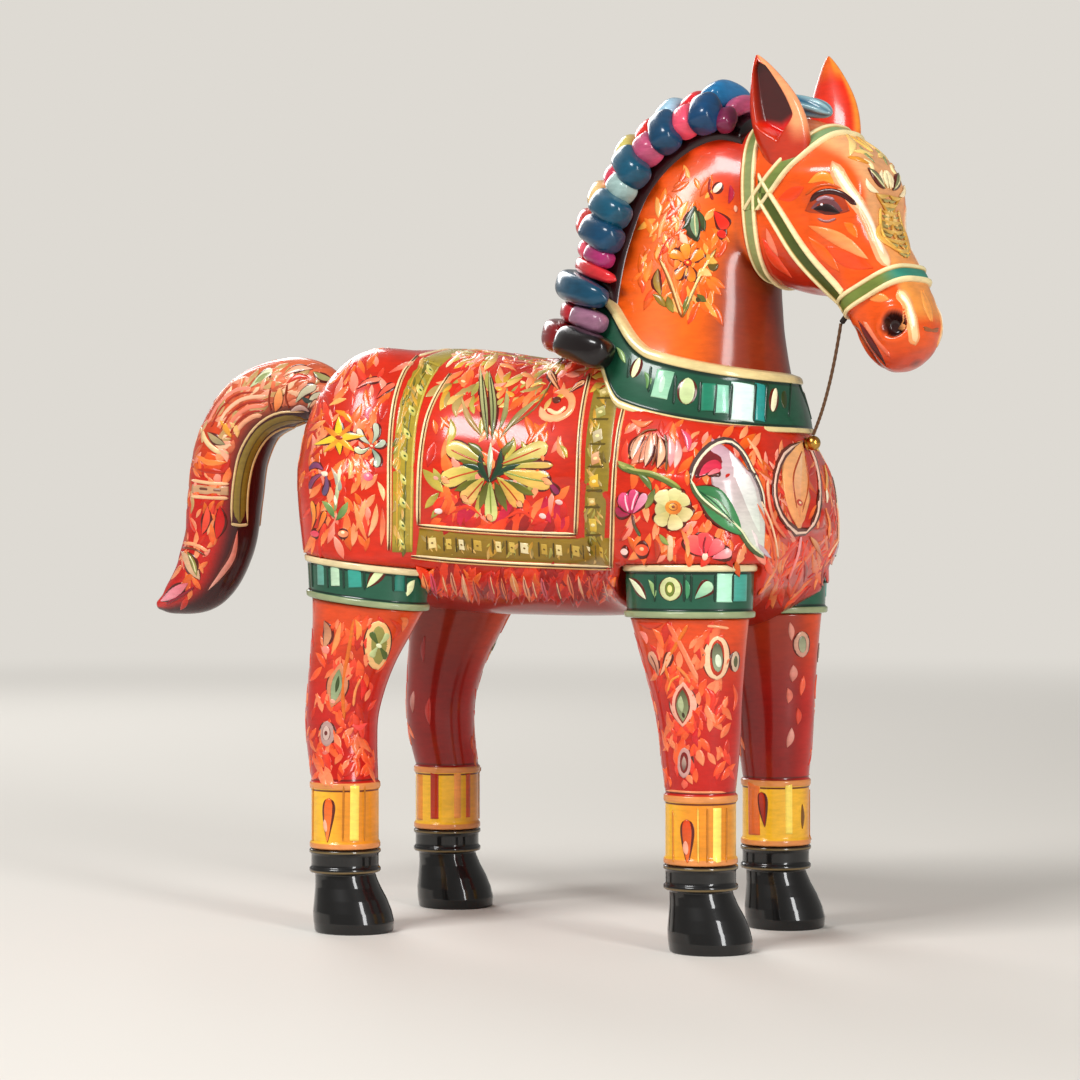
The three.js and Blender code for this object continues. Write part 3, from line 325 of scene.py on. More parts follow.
neck_seat = (neck_point(1, 0.0) + neck_point(1, np.pi)) / 2
neck_ahead = unit(neck_point(1, 0.0) - neck_point(1, np.pi))
neck_up = np.cross(neck_ahead, [0.0, 1.0, 0.0])
neck_up *= np.sign(neck_up[2])


def blended(a, b, radius=blend_radius):
    """The lesser of two fields, rounded over a blend radius."""
    h = np.maximum(radius - np.abs(a - b), 0) / radius
    return np.minimum(a, b) - h * h * radius / 4


def oval(p, q, half_p, half_q):
    """About the distance outside an oval."""
    return (np.hypot(p / half_p, q / half_q) - 1) * np.minimum(half_p, half_q)


def muscle(points, centre, size):
    """About the distance outside an ellipsoid."""
    p, r = points - centre, np.asarray(size) / 2
    near, slope = np.linalg.norm(p / r, axis=-1), np.linalg.norm(p / r / r, axis=-1)
    return near * (near - 1) / np.maximum(slope, 1e-6)


def stump(points, end):
    """The top of a leg's form inside the trunk. It stays just inside the band below the band's upper edge."""
    top = band_foot[end] + band_height[end]
    rise = np.maximum(points[..., 2] - top, 0) * 0.12
    hidden = 1.2 * (1 - smooth(points[..., 2], top - 1.5, top + 1.0))
    grow = 0.4 - rise - hidden
    x, y = points[..., 0] - leg_top[end][0], points[..., 1] - leg_top[end][1]
    ring = oval(x, y, band_length / 2 + grow, band_width / 2 + grow)
    return np.maximum(np.maximum(ring, top - 6 - points[..., 2]), points[..., 2] - top - 22)


def neck_root(points):
    """The neck's foot inside the trunk, which runs on from the neck's two lowest rows."""
    away = points * [1, 0, 1] - neck_seat * [1, 0, 1]
    height = away @ neck_up
    lowest = (neck_point(-1, 0.0) + neck_point(-1, np.pi)) / 2 - neck_seat
    share = height / (lowest @ neck_up)
    halves = [np.linalg.norm(neck_point(p, 0.0) - neck_point(p, np.pi)) / 2 for p in (1, -1)]
    widths = [neck_point(p, np.pi / 2)[1] for p in (1, -1)]
    half_length, half_width = [pair[0] + share * (pair[1] - pair[0]) for pair in (halves, widths)]
    ring = oval(away @ neck_ahead - share * (lowest @ neck_ahead), points[..., 1], half_length, half_width)
    return np.maximum(np.maximum(ring, height - 4), -28 - height)


def trunk_field(points):
    """About the distance outside the trunk's skin: barrel, shoulder, haunch, stumps and neck root blended."""
    p = np.stack([points[..., 0], np.abs(points[..., 1]), points[..., 2]], -1)
    top, belly, width = np.moveaxis(along(barrel_rows, p[..., 0]), -1, 0)
    past = np.maximum(np.maximum(barrel_rows[0][0] - p[..., 0], p[..., 0] - barrel_rows[-1][0]), 0)
    field = oval(p[..., 1], p[..., 2] - (top + belly) / 2, width, (top - belly) / 2) + past
    field = blended(field, muscle(p, [wheelbase / 2 - 10, 20, 121], [51, 45, 66]))
    field = blended(field, muscle(p, [-wheelbase / 2 + 3, 22, 133], [45, 43, 72]))
    for end in ("front", "rear"):
        field = blended(field, stump(p, end))
    return blended(field, neck_root(p))


def trimmed_field(points):
    """The trunk's field with a rebate round each band: all below the band's upper lip and within about a millimetre of
    the band is pared away."""
    field = trunk_field(points)
    for end in ("front", "rear"):
        x, y = points[..., 0] - leg_top[end][0], np.abs(points[..., 1]) - leg_top[end][1]
        beyond = oval(x, y, band_length / 2 + 0.5, band_width / 2 + 0.5)
        slope = rear_slope if end == "rear" else 0.0
        lip = band_foot[end] + band_height[end] - x * np.tan(np.radians(slope)) + 0.1
        rebate = np.minimum(np.minimum(lip - points[..., 2], 1.2 - beyond), y + 4)
        field = -blended(-field, -rebate, 1.5)
    return field


def collar_edges(angle):
    """The collar's lower and upper edge as places on the neck. Both dip at the sides and climb beside the mane."""
    behind = -np.cos(angle)
    low = 0.08 + 0.36 * np.cos(2 * angle) + 1.2 * smooth(behind, 0.2, 0.52) * (1 - 0.6 * smooth(behind, 0.6, 0.9))
    high = 1.92 + 0.14 * np.cos(2 * angle) + 0.8 * smooth(behind, 0, 0.6) * (1 - 0.8 * smooth(behind, 0.55, 0.85))
    return low, high


def carved_field(points):
    """The trunk's field, cut off under the collar just above the collar's lower edge."""
    away = points - neck_seat
    length = np.linalg.norm(neck_point(1, 0.0) - neck_point(1, np.pi)) / 2
    angle = np.arctan2(np.abs(points[..., 1]) / 28.0, away @ neck_ahead / length)
    edge = (neck_point(collar_edges(angle)[0], angle) - neck_seat) @ neck_up
    return np.maximum(trimmed_field(points), (away @ neck_up - edge - 1.4) * 0.9)


def slope_of(field, points, step=0.05):
    """The field's slope by central differences."""
    ways = np.eye(3) * step
    return np.stack([(field(points + w) - field(points - w)) / (2 * step) for w in ways], -1)


def settled(field, points, rounds=3):
    """Points slid along the field's slope on to its zero level."""
    for _ in range(rounds):
        slope = slope_of(field, points)
        step = field(points) / np.maximum((slope**2).sum(-1), 0.25)
        points = points - slope * np.clip(step, -1, 1)[..., None]
    return points


def carve(field, low, high, cell):
    """Skins a field's zero level: one point in each cell that it crosses, at the middle of the crossings on the
    cell's edges, and one face round each crossed edge of the grid."""
    axes = [np.arange(a, b + cell, cell) for a, b in zip(low, high)]
    grid = np.stack(np.meshgrid(*axes, indexing="ij"), -1)
    values = field(grid)
    size = np.array(values.shape) - 1
    total, count = np.zeros((*size, 3)), np.zeros(size)
    cut = lambda array, offset: array[tuple(slice(o, o + s) for o, s in zip(offset, size))]
    for axis in range(3):
        step = np.eye(3, dtype=int)[axis]
        others = [o for o in range(3) if o != axis]
        for p in (0, 1):
            for q in (0, 1):
                start = np.zeros(3, int)
                start[others[0]], start[others[1]] = p, q
                a, b = cut(values, start), cut(values, start + step)
                crossed = (a < 0) != (b < 0)
                share = np.where(crossed, a / np.where(crossed, a - b, 1), 0)
                place = cut(grid, start) + share[..., None] * step * cell
                total += np.where(crossed[..., None], place, 0)
                count += crossed
    inside = count > 0
    number = np.full(size, -1)
    number[inside] = np.arange(inside.sum())
    points = total[inside] / count[inside][:, None]
    faces = []
    for axis in range(3):
        u, v = (axis + 1) % 3, (axis + 2) % 3
        step = np.eye(3, dtype=int)
        low_side = values[1:-1, 1:-1, 1:-1] < 0
        ahead = step[axis]
        high_side = values[tuple(slice(1 + ahead[n], values.shape[n] - 1 + ahead[n]) for n in range(3))] < 0
        spot = np.argwhere(low_side != high_side) + 1
        way = low_side[tuple((spot - 1).T)]
        corners = ((0, 0), (1, 0), (1, 1), (0, 1))
        ring = np.stack([number[tuple((spot - p * step[u] - q * step[v]).T)] for p, q in corners], -1)
        faces.append(np.where(way[:, None], ring, ring[:, ::-1]))
    return settled(field, points, 2), np.vstack(faces)


def grained(name, cells, detail, dark, pale, values):
    """A bare substance whose colour wanders between a dark and a pale tone by a noise of some cells in a metre."""
    made, tree = material(name)
    where = node(tree, "ShaderNodeTexCoord").outputs["Object"]
    grain = node(tree, "ShaderNodeTexNoise", {"Scale": cells, "Detail": detail}, {"Vector": where}).outputs["Fac"]
    ramp = node(tree, "ShaderNodeValToRGB", {}, {"Fac": grain})
    for stop, tone in zip(ramp.color_ramp.elements, (dark, pale)):
        stop.color = hexed(tone)
    surface = node(tree, "ShaderNodeBsdfPrincipled", values, {"Base Color": ramp.outputs[0]})
    node(tree, "ShaderNodeOutputMaterial", links={"Surface": surface.outputs[0]})
    return made


def lacquer(name, roughness=0.4, streak=0.2, unevenness=0.1, coat=0.75, softness=0.13):
    """Paint that follows the colour of each point, under a clear coat, with faint brush streaks and an uneven
    surface."""
    made, tree = material(name)
    where = node(tree, "ShaderNodeTexCoord").outputs["Object"]
    paint = node(tree, "ShaderNodeVertexColor", layer_name="paint").outputs["Color"]
    # Brush streaks about 4 mm long and 1 mm wide, blotches of about 12 mm where the coats are thicker, and a ripple
    # about 8 mm wide.
    stretched = node(tree, "ShaderNodeMapping", {"Scale": (260, 260, 900)}, {"Vector": where}).outputs[0]
    textures = [
        node(tree, "ShaderNodeTexNoise", {"Scale": cells, "Detail": detail, "Roughness": rough}, {"Vector": place})
        for cells, detail, rough, place in ((1, 3, 0.6, stretched), (85, 2, 0.5, where), (130, 2, 0.45, where))]
    streaks, blotches, ripple = [texture.outputs["Fac"] for texture in textures]
    both = node(tree, "ShaderNodeMath", {}, {0: streaks, 1: blotches}, operation="ADD").outputs[0]
    span = {"From Min": 0.6, "From Max": 1.4, "To Min": 1 - streak, "To Max": 1 + streak}
    shade = node(tree, "ShaderNodeMapRange", span, {"Value": both}).outputs[0]
    tone = node(tree, "ShaderNodeVectorMath", {}, {0: paint, "Scale": shade}, operation="SCALE").outputs[0]
    bump = node(tree, "ShaderNodeBump", {"Strength": unevenness, "Distance": 0.0006}, {"Height": ripple}).outputs[0]
    values = {"Roughness": roughness, "Specular IOR Level": 0.15, "Coat Weight": coat, "Coat Roughness": softness,
              "Coat IOR": 1.45}
    finish = node(tree, "ShaderNodeBsdfPrincipled", values, {"Base Color": tone, "Normal": bump, "Coat Normal": bump})
    node(tree, "ShaderNodeOutputMaterial", links={"Surface": finish.outputs[0]})
    return made


def mixed_paint(first, second, share):
    """Two colours mixed by a share for each point."""
    share = np.clip(np.asarray(share, float), 0, 1)[..., None]
    return hexed(first) * (1 - share) + hexed(second) * share


def over(under, share, code):
    """A colour, or colours, laid over others by a share for each point."""
    share = np.asarray(share)[..., None]
    return under * (1 - share) + (hexed(code) if isinstance(code, str) else code) * share


# Oil paint under lacquer on carved wood: deep colour with a sharp, bright reflection on top.
painted_wood = lacquer("lacquered paint on wood")
trunk_low, trunk_high, trunk_cell = (-92, -52, 84), (84, 52, 182), 1.35
trunk_points, trunk_faces = carve(carved_field, trunk_low, trunk_high, trunk_cell)
# The red darkens towards the belly: painted shade under the barrel.
trunk_colours = mixed_paint("#c42408", "#8c1206", smooth(trunk_points[:, 2], 104, 90))
trunk_faces = outward(trunk_points, trunk_faces)
solid_mesh("trunk", trunk_points, trunk_faces, trunk_colours, painted_wood, "red_lacquer", "torso")
# Turned soft wood, bare inside the figure: dull, with a grain about 3 mm wide.
bare_wood = grained("bare turned wood", 300.0, 5.0, "#a5763f", "#d0a468", {"Roughness": 0.7})
for name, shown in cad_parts.items():
    if "dowel" in name:
        shown.data.materials.clear()
        shown.data.materials.append(bare_wood)

# Neck. Carved, doweled on the trunk, painted orange that reddens towards the mane and the chest.

place, angle = lattice(np.linspace(1, 8, 130), full_turn(150))
neck_grid = neck_point(place, angle)
to_crest = smooth(-np.cos(angle), 0.05, 0.95)
rings, faces = capped(neck_grid)
# The throat, the neck's front, darkens almost to black red below the head: partly dark paint and partly painted shade.
throat = smooth(np.cos(angle), 0.3, 0.75) * smooth(place, 7.6, 6.4)
tone = mixed_paint("#e55f0a", "#c02a0c", 0.85 * to_crest)
flush = 0.8 * smooth(place, 5.6, 7.4) * smooth(-np.cos(angle), -0.5, 0.2)
tone = over(over(tone, flush, "#c8220a"), 0.85 * throat, "#5a0a08")
tone = np.vstack([tone.reshape(-1, 4), tone[0, 0], tone[-1, 0]])
solid_mesh("neck_painted", rings, faces, tone, painted_wood, "orange_lacquer", "neck")

# Head. Carved in one piece and doweled on the neck: flat cheeks, a ridge each side of the face,
# sunk nostrils and a cut mouth. Orange, redder on the jaw.

head_rows = [
    [0, 60, 230, 61.8, 188, 14], [1, 68, 232.5, 69, 184.8, 15.5], [2, 77, 231.5, 76.5, 182.6, 16],
    [3, 86.5, 227.5, 82.5, 181.6, 15.8], [4, 95, 221.5, 87, 180.5, 15], [5, 100, 214, 89.5, 178.8, 14],
    [6, 100.6, 205.5, 91.2, 176.5, 13], [7, 102.4, 197.5, 92.4, 174, 12], [8, 106.8, 190.3, 93.6, 170.8, 11],
    [9, 110.8, 183, 95.2, 167, 10.6], [10, 113.6, 176, 97.4, 163.2, 10.3], [11, 114.2, 170, 101, 160.3, 9.2],
    [11.6, 113, 166.2, 104.5, 159.9, 6.8], [12, 111, 163.5, 107.8, 161, 3],
]
nostril_place = (108.2, 172.4)


def bare_head(place, angle, off=0.0):
    """The head's form before its carving and its turn: angle 0 is the middle of the face, half a turn the jaw."""
    place, angle, off = np.broadcast_arrays(np.asarray(place, float), angle, off)
    flatness = 2.4 + 0.9 * smooth(place, 2.5, 4.5) * smooth(place, 10.5, 8.5)
    points = section(np.array(head_rows)[:, [0, 3, 4, 1, 2, 5]], place, angle, off, 2 / flatness)
    past = np.where(place >= 12, off, 0.0)[..., None]
    return points + past * np.array([0.6, 0, -0.8])


def from_nostril(x, z):
    """How far a place in side view lies from the nostril, in its half widths."""
    return np.hypot((x - nostril_place[0]) / 3.3, (z - nostril_place[1]) / 3.6)


def off_mouth(x, z):
    """How far a place in side view lies off the line of the mouth."""
    return np.abs((x - 98.2) * 0.87 + (z - 166.6) * 0.5)


def relief(points):
    """The carving's height, off the unturned head: cheek, brow, cheekbone, nostril with its rim, and mouth."""
    x, y, z = points[..., 0], np.abs(points[..., 1]), points[..., 2]
    bell = lambda cx, cz, rx, rz: np.exp(-(((x - cx) / rx) ** 2 + ((z - cz) / rz) ** 2))
    hump = lambda cx, cz, rx, rz, side: bell(cx, cz, rx, rz) * smooth(y, side, side + 4)
    height = 1.4 * hump(79, 192, 10, 9, 6)
    height += hump(84, 214.5, 9, 3.4, 6) - 0.7 * hump(87, 206, 5.5, 4, 6) + 0.9 * hump(86.5, 208.5, 3.9, 3.1, 8)
    bone = np.abs((x - 90) * 0.62 + (z - 199) * 0.78)
    height += 0.9 * np.exp(-((bone / 2.6) ** 2)) * smooth(x, 84, 89) * smooth(x, 101, 96) * smooth(y, 6, 10)
    height -= 0.9 * hump(96, 190, 5, 5, 5)
    ring = from_nostril(x, z)
    height += (0.9 * np.exp(-(((ring - 1.25) / 0.4) ** 2)) - 2.6 * smooth(ring, 1.05, 0.45)) * smooth(y, 3, 6)
    return height - 0.7 * np.exp(-((off_mouth(x, z) / 1.3) ** 2)) * smooth(z, 173.5, 170.5) * smooth(y, 0, 2)


def head_point(place, angle, off=0.0):
    """The carved and turned head's skin, or off it."""
    return turned(bare_head(place, angle, off + relief(bare_head(place, angle))))


head_places = np.concatenate([np.linspace(0, 11, 150), np.linspace(11, 12, 24)[1:]])
place, angle = lattice(head_places, full_turn(150))
head_grid = head_point(place, angle)
x, y, z = np.moveaxis(bare_head(place, angle), -1, 0)
points, faces = capped(head_grid)
jaw = smooth(-np.cos(angle), 0.15, 0.75) * smooth(place, 8.5, 6.5) * 0.9
muzzle_red = 0.5 * smooth(z, 168, 162)
nostril = smooth(from_nostril(x, z), 1.1, 0.85) * smooth(np.abs(y), 3, 6)
mouth = np.exp(-((off_mouth(x, z) / 0.8) ** 2)) * smooth(z, 173.5, 171) * smooth(np.abs(y), 0, 2)
paint = mixed_paint("#de4f0a", "#b81c08", jaw + muzzle_red)
face = smooth(np.cos(angle), 0.62, 0.86) * smooth(place, 1.5, 3.5) * smooth(place, 10.6, 9.8)
paint = over(paint, face, mixed_paint("#e2a06a", "#e8903c", smooth(place, 5, 10)))
paint = over(over(paint, nostril, "#2b0a07"), 0.9 * mouth, "#5d0c08")
paint = np.vstack([paint.reshape(-1, 4), hexed("#e0641c"), hexed("#7a1c0c")])
solid_mesh("head_painted", points, faces, paint, painted_wood, "orange_lacquer", "head")

# Collar. A carved ring with a raised lip at each edge, glued over the joint of neck and trunk:
# dark green between cream and gold lines.

collar_depth = 2.3


def collar_point(share, angle, off=0.0):
    """The collar's face from its lower edge, share 0, to its upper edge, share 1, at an angle round the neck."""
    share, angle, off = np.broadcast_arrays(np.asarray(share, float), angle, off)
    low, high = collar_edges(angle)
    return neck_point(low + (high - low) * share, angle, collar_depth + off)


# The collar's section as shares of its height and millimetres off its face, read at five places between rows.
collar_profile = np.array([
    [-0.02, -4.5], [-0.005, 0.2], [0.02, 0.75], [0.06, 0.85], [0.1, 0.7], [0.13, 0.1], [0.15, 0.0], [0.3, 0.1],
    [0.5, 0.15], [0.7, 0.1], [0.85, 0.0], [0.87, 0.1], [0.9, 0.7], [0.94, 0.85], [0.98, 0.75], [1.005, 0.2],
    [1.02, -4.5],
])
reading = np.linspace(0, len(collar_profile) - 1, 5 * (len(collar_profile) - 1) + 1)
fine = np.column_stack([np.interp(reading, np.arange(len(collar_profile)), column) for column in collar_profile.T])
angle = full_turn(180)
rings = collar_point(fine[:, 0][:, None], angle[None], fine[:, 1][:, None]).transpose(1, 0, 2)
faces = quads(*rings.shape[:2], closed=True)
edge = np.minimum(np.abs(fine[:, 0]), np.abs(1 - fine[:, 0]))
strip = np.where(edge[:, None] < 0.118, hexed("#d9c48a"), hexed("#164a34"))
strip = np.where((np.abs(edge - 0.135) < 0.02)[:, None], hexed("#0c2a1e"), strip)
colours = np.broadcast_to(strip, (len(angle), len(fine), 4)).reshape(-1, 4)
points = rings.reshape(-1, 3)
solid_mesh("collar_ring", points, outward(points, faces), colours, painted_wood, "green_lacquer", "neck_collar")

# Hooves and legs. Each hoof is turned and carved with a grooved ring above it, and dipped in black lacquer.
# Each leg is carved, with a turned cuff at its foot: yellow cuff, red shank, orange at the top.

leg_bottom, cuff_height, cuff_radius, ankle_radius = 24.3, 19.5, 10.3, 9.7
leg_top_height, leg_top_length, leg_top_width = {"front": 92.0, "rear": 95.0}, 33.8, 26.6
leg_shapes = {
    "front": [[0.3, 0, 0.6, 0.77], [0.45, 1.4, 0.65, 0.79], [0.64, 1.3, 0.73, 0.83], [0.82, 0.6, 0.86, 0.9],
              [1, 0, 1, 1]],
    "rear": [[0.3, -2.6, 0.6, 0.75], [0.53, -5, 0.63, 0.78], [0.75, -3.4, 0.74, 0.86], [0.9, -1.2, 0.88, 0.94],
             [1, 0, 1, 1]],
}
fetlock = {"front": (wheelbase / 2 - toe_reach, -front_track / 2),
           "rear": (-wheelbase / 2 - toe_reach, -rear_track / 2)}
leg_rows = {}
for end in ("front", "rear"):
    height = leg_top_height[end] - leg_bottom
    shares = np.linspace(0.3, 1, 7)[1:]
    ahead, long, wide = along(leg_shapes[end], shares).T
    x = fetlock[end][0] + (leg_top[end][0] - fetlock[end][0]) * shares + ahead
    y = fetlock[end][1] + (-leg_top[end][1] - fetlock[end][1]) * shares
    slope = (rear_slope if end == "rear" else 0) * smooth(shares, 0.6, 1)
    long, wide = long * leg_top_length / 2, wide * leg_top_width / 2
    rows = np.column_stack([leg_bottom + height * shares, x, y, long, wide, slope])
    foot = [leg_bottom + cuff_height, *fetlock[end], ankle_radius, ankle_radius, 0]
    leg_rows[end] = np.vstack([foot, rows])


def tilted(x, y, z, half_length, half_width, slope, angle):
    """A point of a level oval whose height falls along X by a slope in degrees."""
    reach = half_length * np.cos(angle)
    return np.stack([x + reach, y + half_width * np.sin(angle), z - reach * np.tan(np.radians(slope))], -1)


def leg_point(end, z, angle, off=0.0):
    """The right leg's skin at a height, or off it: angle 0 faces forward."""
    z, angle, off = np.broadcast_arrays(np.asarray(z, float), angle, off)
    x, y, a, b, slope = np.moveaxis(along(leg_rows[end], z), -1, 0)
    steps = np.append([0, 0.3, 1.3, 1.7, 2.1], cuff_height - np.array([2.6, 2.2, 1.8, 0.6, 0]))
    cuff = np.interp(z, leg_bottom + steps, cuff_radius - np.array([0.3, 0, 0, 0.15, 0.5, 0.5, 0.15, 0, 0, 0.6]))
    on_cuff = z < leg_bottom + cuff_height
    a, b = np.where(on_cuff, cuff, a), np.where(on_cuff, cuff, b)
    return tilted(x, y, z, a + off, b + off, slope, angle)


def both_sides(name, points, faces, colours, finish, slot, node_stem):
    """The right piece and its mirror image on the left, each in place of its node."""
    for side, way in (("right", 1), ("left", -1)):
        shown = [f[:, ::way] for f in faces]
        solid_mesh(f"{name}_{side}_painted", points * [1, way, 1], shown, colours, finish, slot, f"{node_stem}_{side}")


# The hoof's sections: height, how far ahead, half length and half width.
hoof_rows = np.array([
    [0, 3, 11.2, 10.9], [0.4, 3, 11.5, 11.2], [3, 2.9, 11.8, 11.5], [6, 2.4, 11.5, 11.2], [9.5, 1.8, 10.6, 10.4],
    [13, 0.9, 9.5, 9.4], [15.5, 0.3, 8.95, 8.95], [16.9, 0, 8.8, 8.8], [17.2, 0, 10.1, 10.1], [17.7, 0, 10.4, 10.4],
    [18.4, 0, 10.4, 10.4], [18.9, 0, 9.9, 9.9], [19.4, 0, 9.8, 9.8], [22.2, 0, 9.8, 9.8], [22.7, 0, 10.0, 10.0],
    [23.0, 0, 10.4, 10.4], [23.7, 0, 10.4, 10.4], [24, 0, 10.0, 10.0],
])
# The same paint for the hooves, under a thicker, clearer coat that shines like glass.
black_lacquer = lacquer("dipped black lacquer", streak=0.05, unevenness=0.05, coat=1.0, softness=0.07)
angle = full_turn(72)
for end in ("front", "rear"):
    z = np.linspace(0, hoof_rows[-1, 0], 97)
    ahead, a, b = [np.interp(z, hoof_rows[:, 0], hoof_rows[:, n]) for n in (1, 2, 3)]
    foot_x, foot_y = fetlock[end]
    rings = tilted((foot_x + ahead)[:, None], foot_y, z[:, None], a[:, None], b[:, None], 0, angle[None])
    points, faces = capped(rings)
    gold = np.append(np.repeat((np.abs(z - 17.6) < 0.35) | (np.abs(z - 23.4) < 0.3), len(angle)), [False, False])
    colours = np.where(gold[:, None], hexed("#6e5a34"), hexed("#0b0a0a"))
    both_sides(f"hoof_{end}", points, faces, colours, black_lacquer, "black_lacquer", f"hoof_{end}")
    cuff_top = leg_bottom + cuff_height
    z = np.append(np.linspace(leg_bottom, cuff_top, 80), np.linspace(cuff_top, leg_top_height[end], 110)[1:])
    rings = leg_point(end, z[:, None], angle[None])
    points, faces = capped(rings)
    rise = np.repeat((z - cuff_top) / (leg_top_height[end] - cuff_top), len(angle))
    shank = mixed_paint("#b81408", "#d2430f", smooth(rise, 0.45, 1.0))
    spin = np.tile(angle, len(z))
    # The shank darkens on its inner side, towards the other leg: painted shade. Where the mask shadow rises, the cuff's
    # yellow turns orange: painted shade as well.
    shank = over(shank, 0.65 * smooth(np.sin(spin), 0.1, 0.8), "#5e0a08")
    shadow = smooth(np.cos(spin + 0.9), 0.2, 0.9) if end == "front" else smooth(np.cos(spin + 0.5), 0.3, 0.95)
    cuff = mixed_paint("#f0b52a", "#e08a1c", shadow)
    colours = np.where(rise[:, None] > -0.012, shank, cuff)
    step = np.repeat(z - leg_bottom, len(angle))
    cream = ((step > cuff_height - 2.2) & (step < cuff_height - 0.4)) | (step < 1.5)
    colours = np.where(cream[:, None], hexed("#d98a4a"), colours)
    dark = (np.abs(step - (cuff_height + 0.35)) < 0.35) | (np.abs(step - (cuff_height - 2.6)) < 0.3)
    colours = np.where(dark[:, None], hexed("#5a1408"), colours)
    colours = np.vstack([colours, colours[:1], colours[-1:]])
    both_sides(f"leg_{end}", points, faces, colours, painted_wood, "red_lacquer", f"leg_{end}")

# Bands. A carved oval ring with raised lips between each leg and the trunk: dark green, cream above, grey-green
# below.

band_flare = 0.6


def band_point(end, share, angle, off=0.0):
    """The right band's face from its foot, share 0, to its top, share 1."""
    share, angle, off = np.broadcast_arrays(np.asarray(share, float), angle, off)
    flare = band_flare * (share - 0.5) + off
    z = band_foot[end] + band_height[end] * share
    slope = rear_slope if end == "rear" else 0.0
    return tilted(leg_top[end][0], -leg_top[end][1], z, band_length / 2 + flare, band_width / 2 + flare, slope, angle)


for end in ("front", "rear"):
    tall = band_height[end]
    lip, lip_swell = np.array([0, 0.15, 0.5, 1.3, 1.65, 2.0, 2.3]), [0.35, 0.65, 0.8, 0.8, 0.65, 0.15, 0]
    heights = np.concatenate([lip, [tall / 2], tall - lip[::-1]])
    swell = lip_swell + [0] + lip_swell[::-1]
    z = np.unique(np.concatenate([np.linspace(0, tall, 70), heights]))
    rings = band_point(end, (z / tall)[:, None], angle[None], np.interp(z, heights, swell)[:, None])
    points, faces = capped(rings)
    from_foot, from_top = z[:, None], tall - z[:, None]
    tone = np.where(from_foot < 1.9, hexed("#8f9a72"), hexed("#17503a"))
    tone = np.where(from_top < 1.9, hexed("#dcc89a"), tone)
    tone = np.where((np.abs(from_top - 2.25) < 0.3) | (np.abs(from_foot - 2.25) < 0.3), hexed("#0b271c"), tone)
    colours = np.vstack([np.repeat(tone, len(angle), axis=0), tone[:1], tone[-1:]])
    both_sides(f"leg_band_{end}", points, faces, colours, painted_wood, "green_lacquer", f"leg_band_{end}")

# Ears. Carved leaves with a hollow outer side, glued in behind the browband: orange-red outside,
# a dark hollow with a bright red foot, and a paler front rim. The left one is a little taller, as carved.

ear_height, ear_length, ear_thickness, ear_spread = {"right": 30.5, "left": 35.0}, 17.0, 8.0, 12.0
ear_lean, ear_rake = np.radians(13.0), np.radians(8.0)
ear_outline = [[0, 0.84, 0.95], [0.3, 1, 1], [0.55, 0.88, 0.86], [0.8, 0.5, 0.58], [0.95, 0.18, 0.3], [1, 0.04, 0.08]]


def ear_point(side, share, angle):
    """The ear's skin, an oval pressed in on its outer side within a rim, and how deep it is pressed. Angle 0 is the
    front edge and a quarter turn the outer side."""
    way = -1 if side == "right" else 1
    long, thick = np.moveaxis(along(ear_outline, share), -1, 0)
    a, b = long * ear_length / 2, thick * ear_thickness / 2
    across = np.cos(angle)
    open_to = 0.8 * smooth(share, 0.16, 0.42) * smooth(share, 0.97, 0.88)
    bowl = smooth(open_to - np.abs(across), 0.0, 0.3) * (np.sin(angle) > 0)
    x, y, z = a * across, b * np.sin(angle) - bowl * b * (np.sin(angle) + 0.3), share * ear_height[side]
    x = x - 2.2 * share**2
    y, z = y * np.cos(ear_lean) + z * np.sin(ear_lean), z * np.cos(ear_lean) - y * np.sin(ear_lean)
    x, z = x * np.cos(ear_rake) - z * np.sin(ear_rake), x * np.sin(ear_rake) + z * np.cos(ear_rake)
    return turned(np.stack([head_pivot + 20 + x, way * (ear_spread + y), 219 + z], -1)), bowl


share, angle = lattice(np.linspace(0, 1, 90), full_turn(96))
for side in ("right", "left"):
    rings, bowl = ear_point(side, share, angle)
    points, faces = capped(rings)
    # The front rim is paler: partly its orange paint and partly a painted highlight.
    rim = smooth(np.cos(angle), 0.35, 0.8) * smooth(share, 0.1, 0.35)
    skin = mixed_paint("#b82a08", "#f09a68", rim) if side == "right" else mixed_paint("#dc5a0e", "#f4892c", rim)
    inner = smooth(-np.sin(angle), 0.2, 0.6) * smooth(share, 0.9, 0.7) * (side == "left")
    skin = over(skin, inner, "#d4280a")
    hollow = mixed_paint("#d80e06", "#420406", smooth(share - 0.1 * np.abs(np.cos(angle)), 0.3, 0.38))
    colours = np.vstack([over(skin, bowl, hollow).reshape(-1, 4), skin[0, 0], skin[-1, 0]])
    solid_mesh(f"ear_{side}_painted", points, faces, colours, painted_wood, "orange_lacquer", f"ear_{side}")

# Bridle. Leather straps, 5 mm wide, glued on round the head and painted: green between two raised
# cream and gold cords. The browband and the cheek straps meet the throat latch at a knot.

strap_lines = {"throat_latch": [(63.4, 236), (65.6, 180)], "browband": [(66, 206.5), (96, 236.5)],
               "noseband": [(84, 174.3), (116, 190)], "cheek_strap": [(69.5, 210), (93.1, 179)]}
# Half a strap's section, from its middle out to its edge: millimetres across and off the head.
half_strap = np.array([[0, 0.78], [0.6, 0.76], [1.2, 0.7], [1.35, 0.75], [1.5, 1.05], [1.8, 1.28], [2.15, 1.25],
                       [2.42, 1.0], [2.5, 0.6], [2.5, -0.4]])
strap_profile = np.vstack([half_strap[:0:-1] * [-1, 1], half_strap])


def off_line(points, line):
    """How far points lie off a strap's line in side view, forwards or downwards."""
    (x0, z0), (x1, z1) = strap_lines[line]
    length = np.hypot(x1 - x0, z1 - z0)
    dx, dz = (x1 - x0) / length, (z1 - z0) / length
    x, z = points[..., 0] - x0, points[..., 2] - z0
    return np.sign(dz) * (x * dz - z * dx)


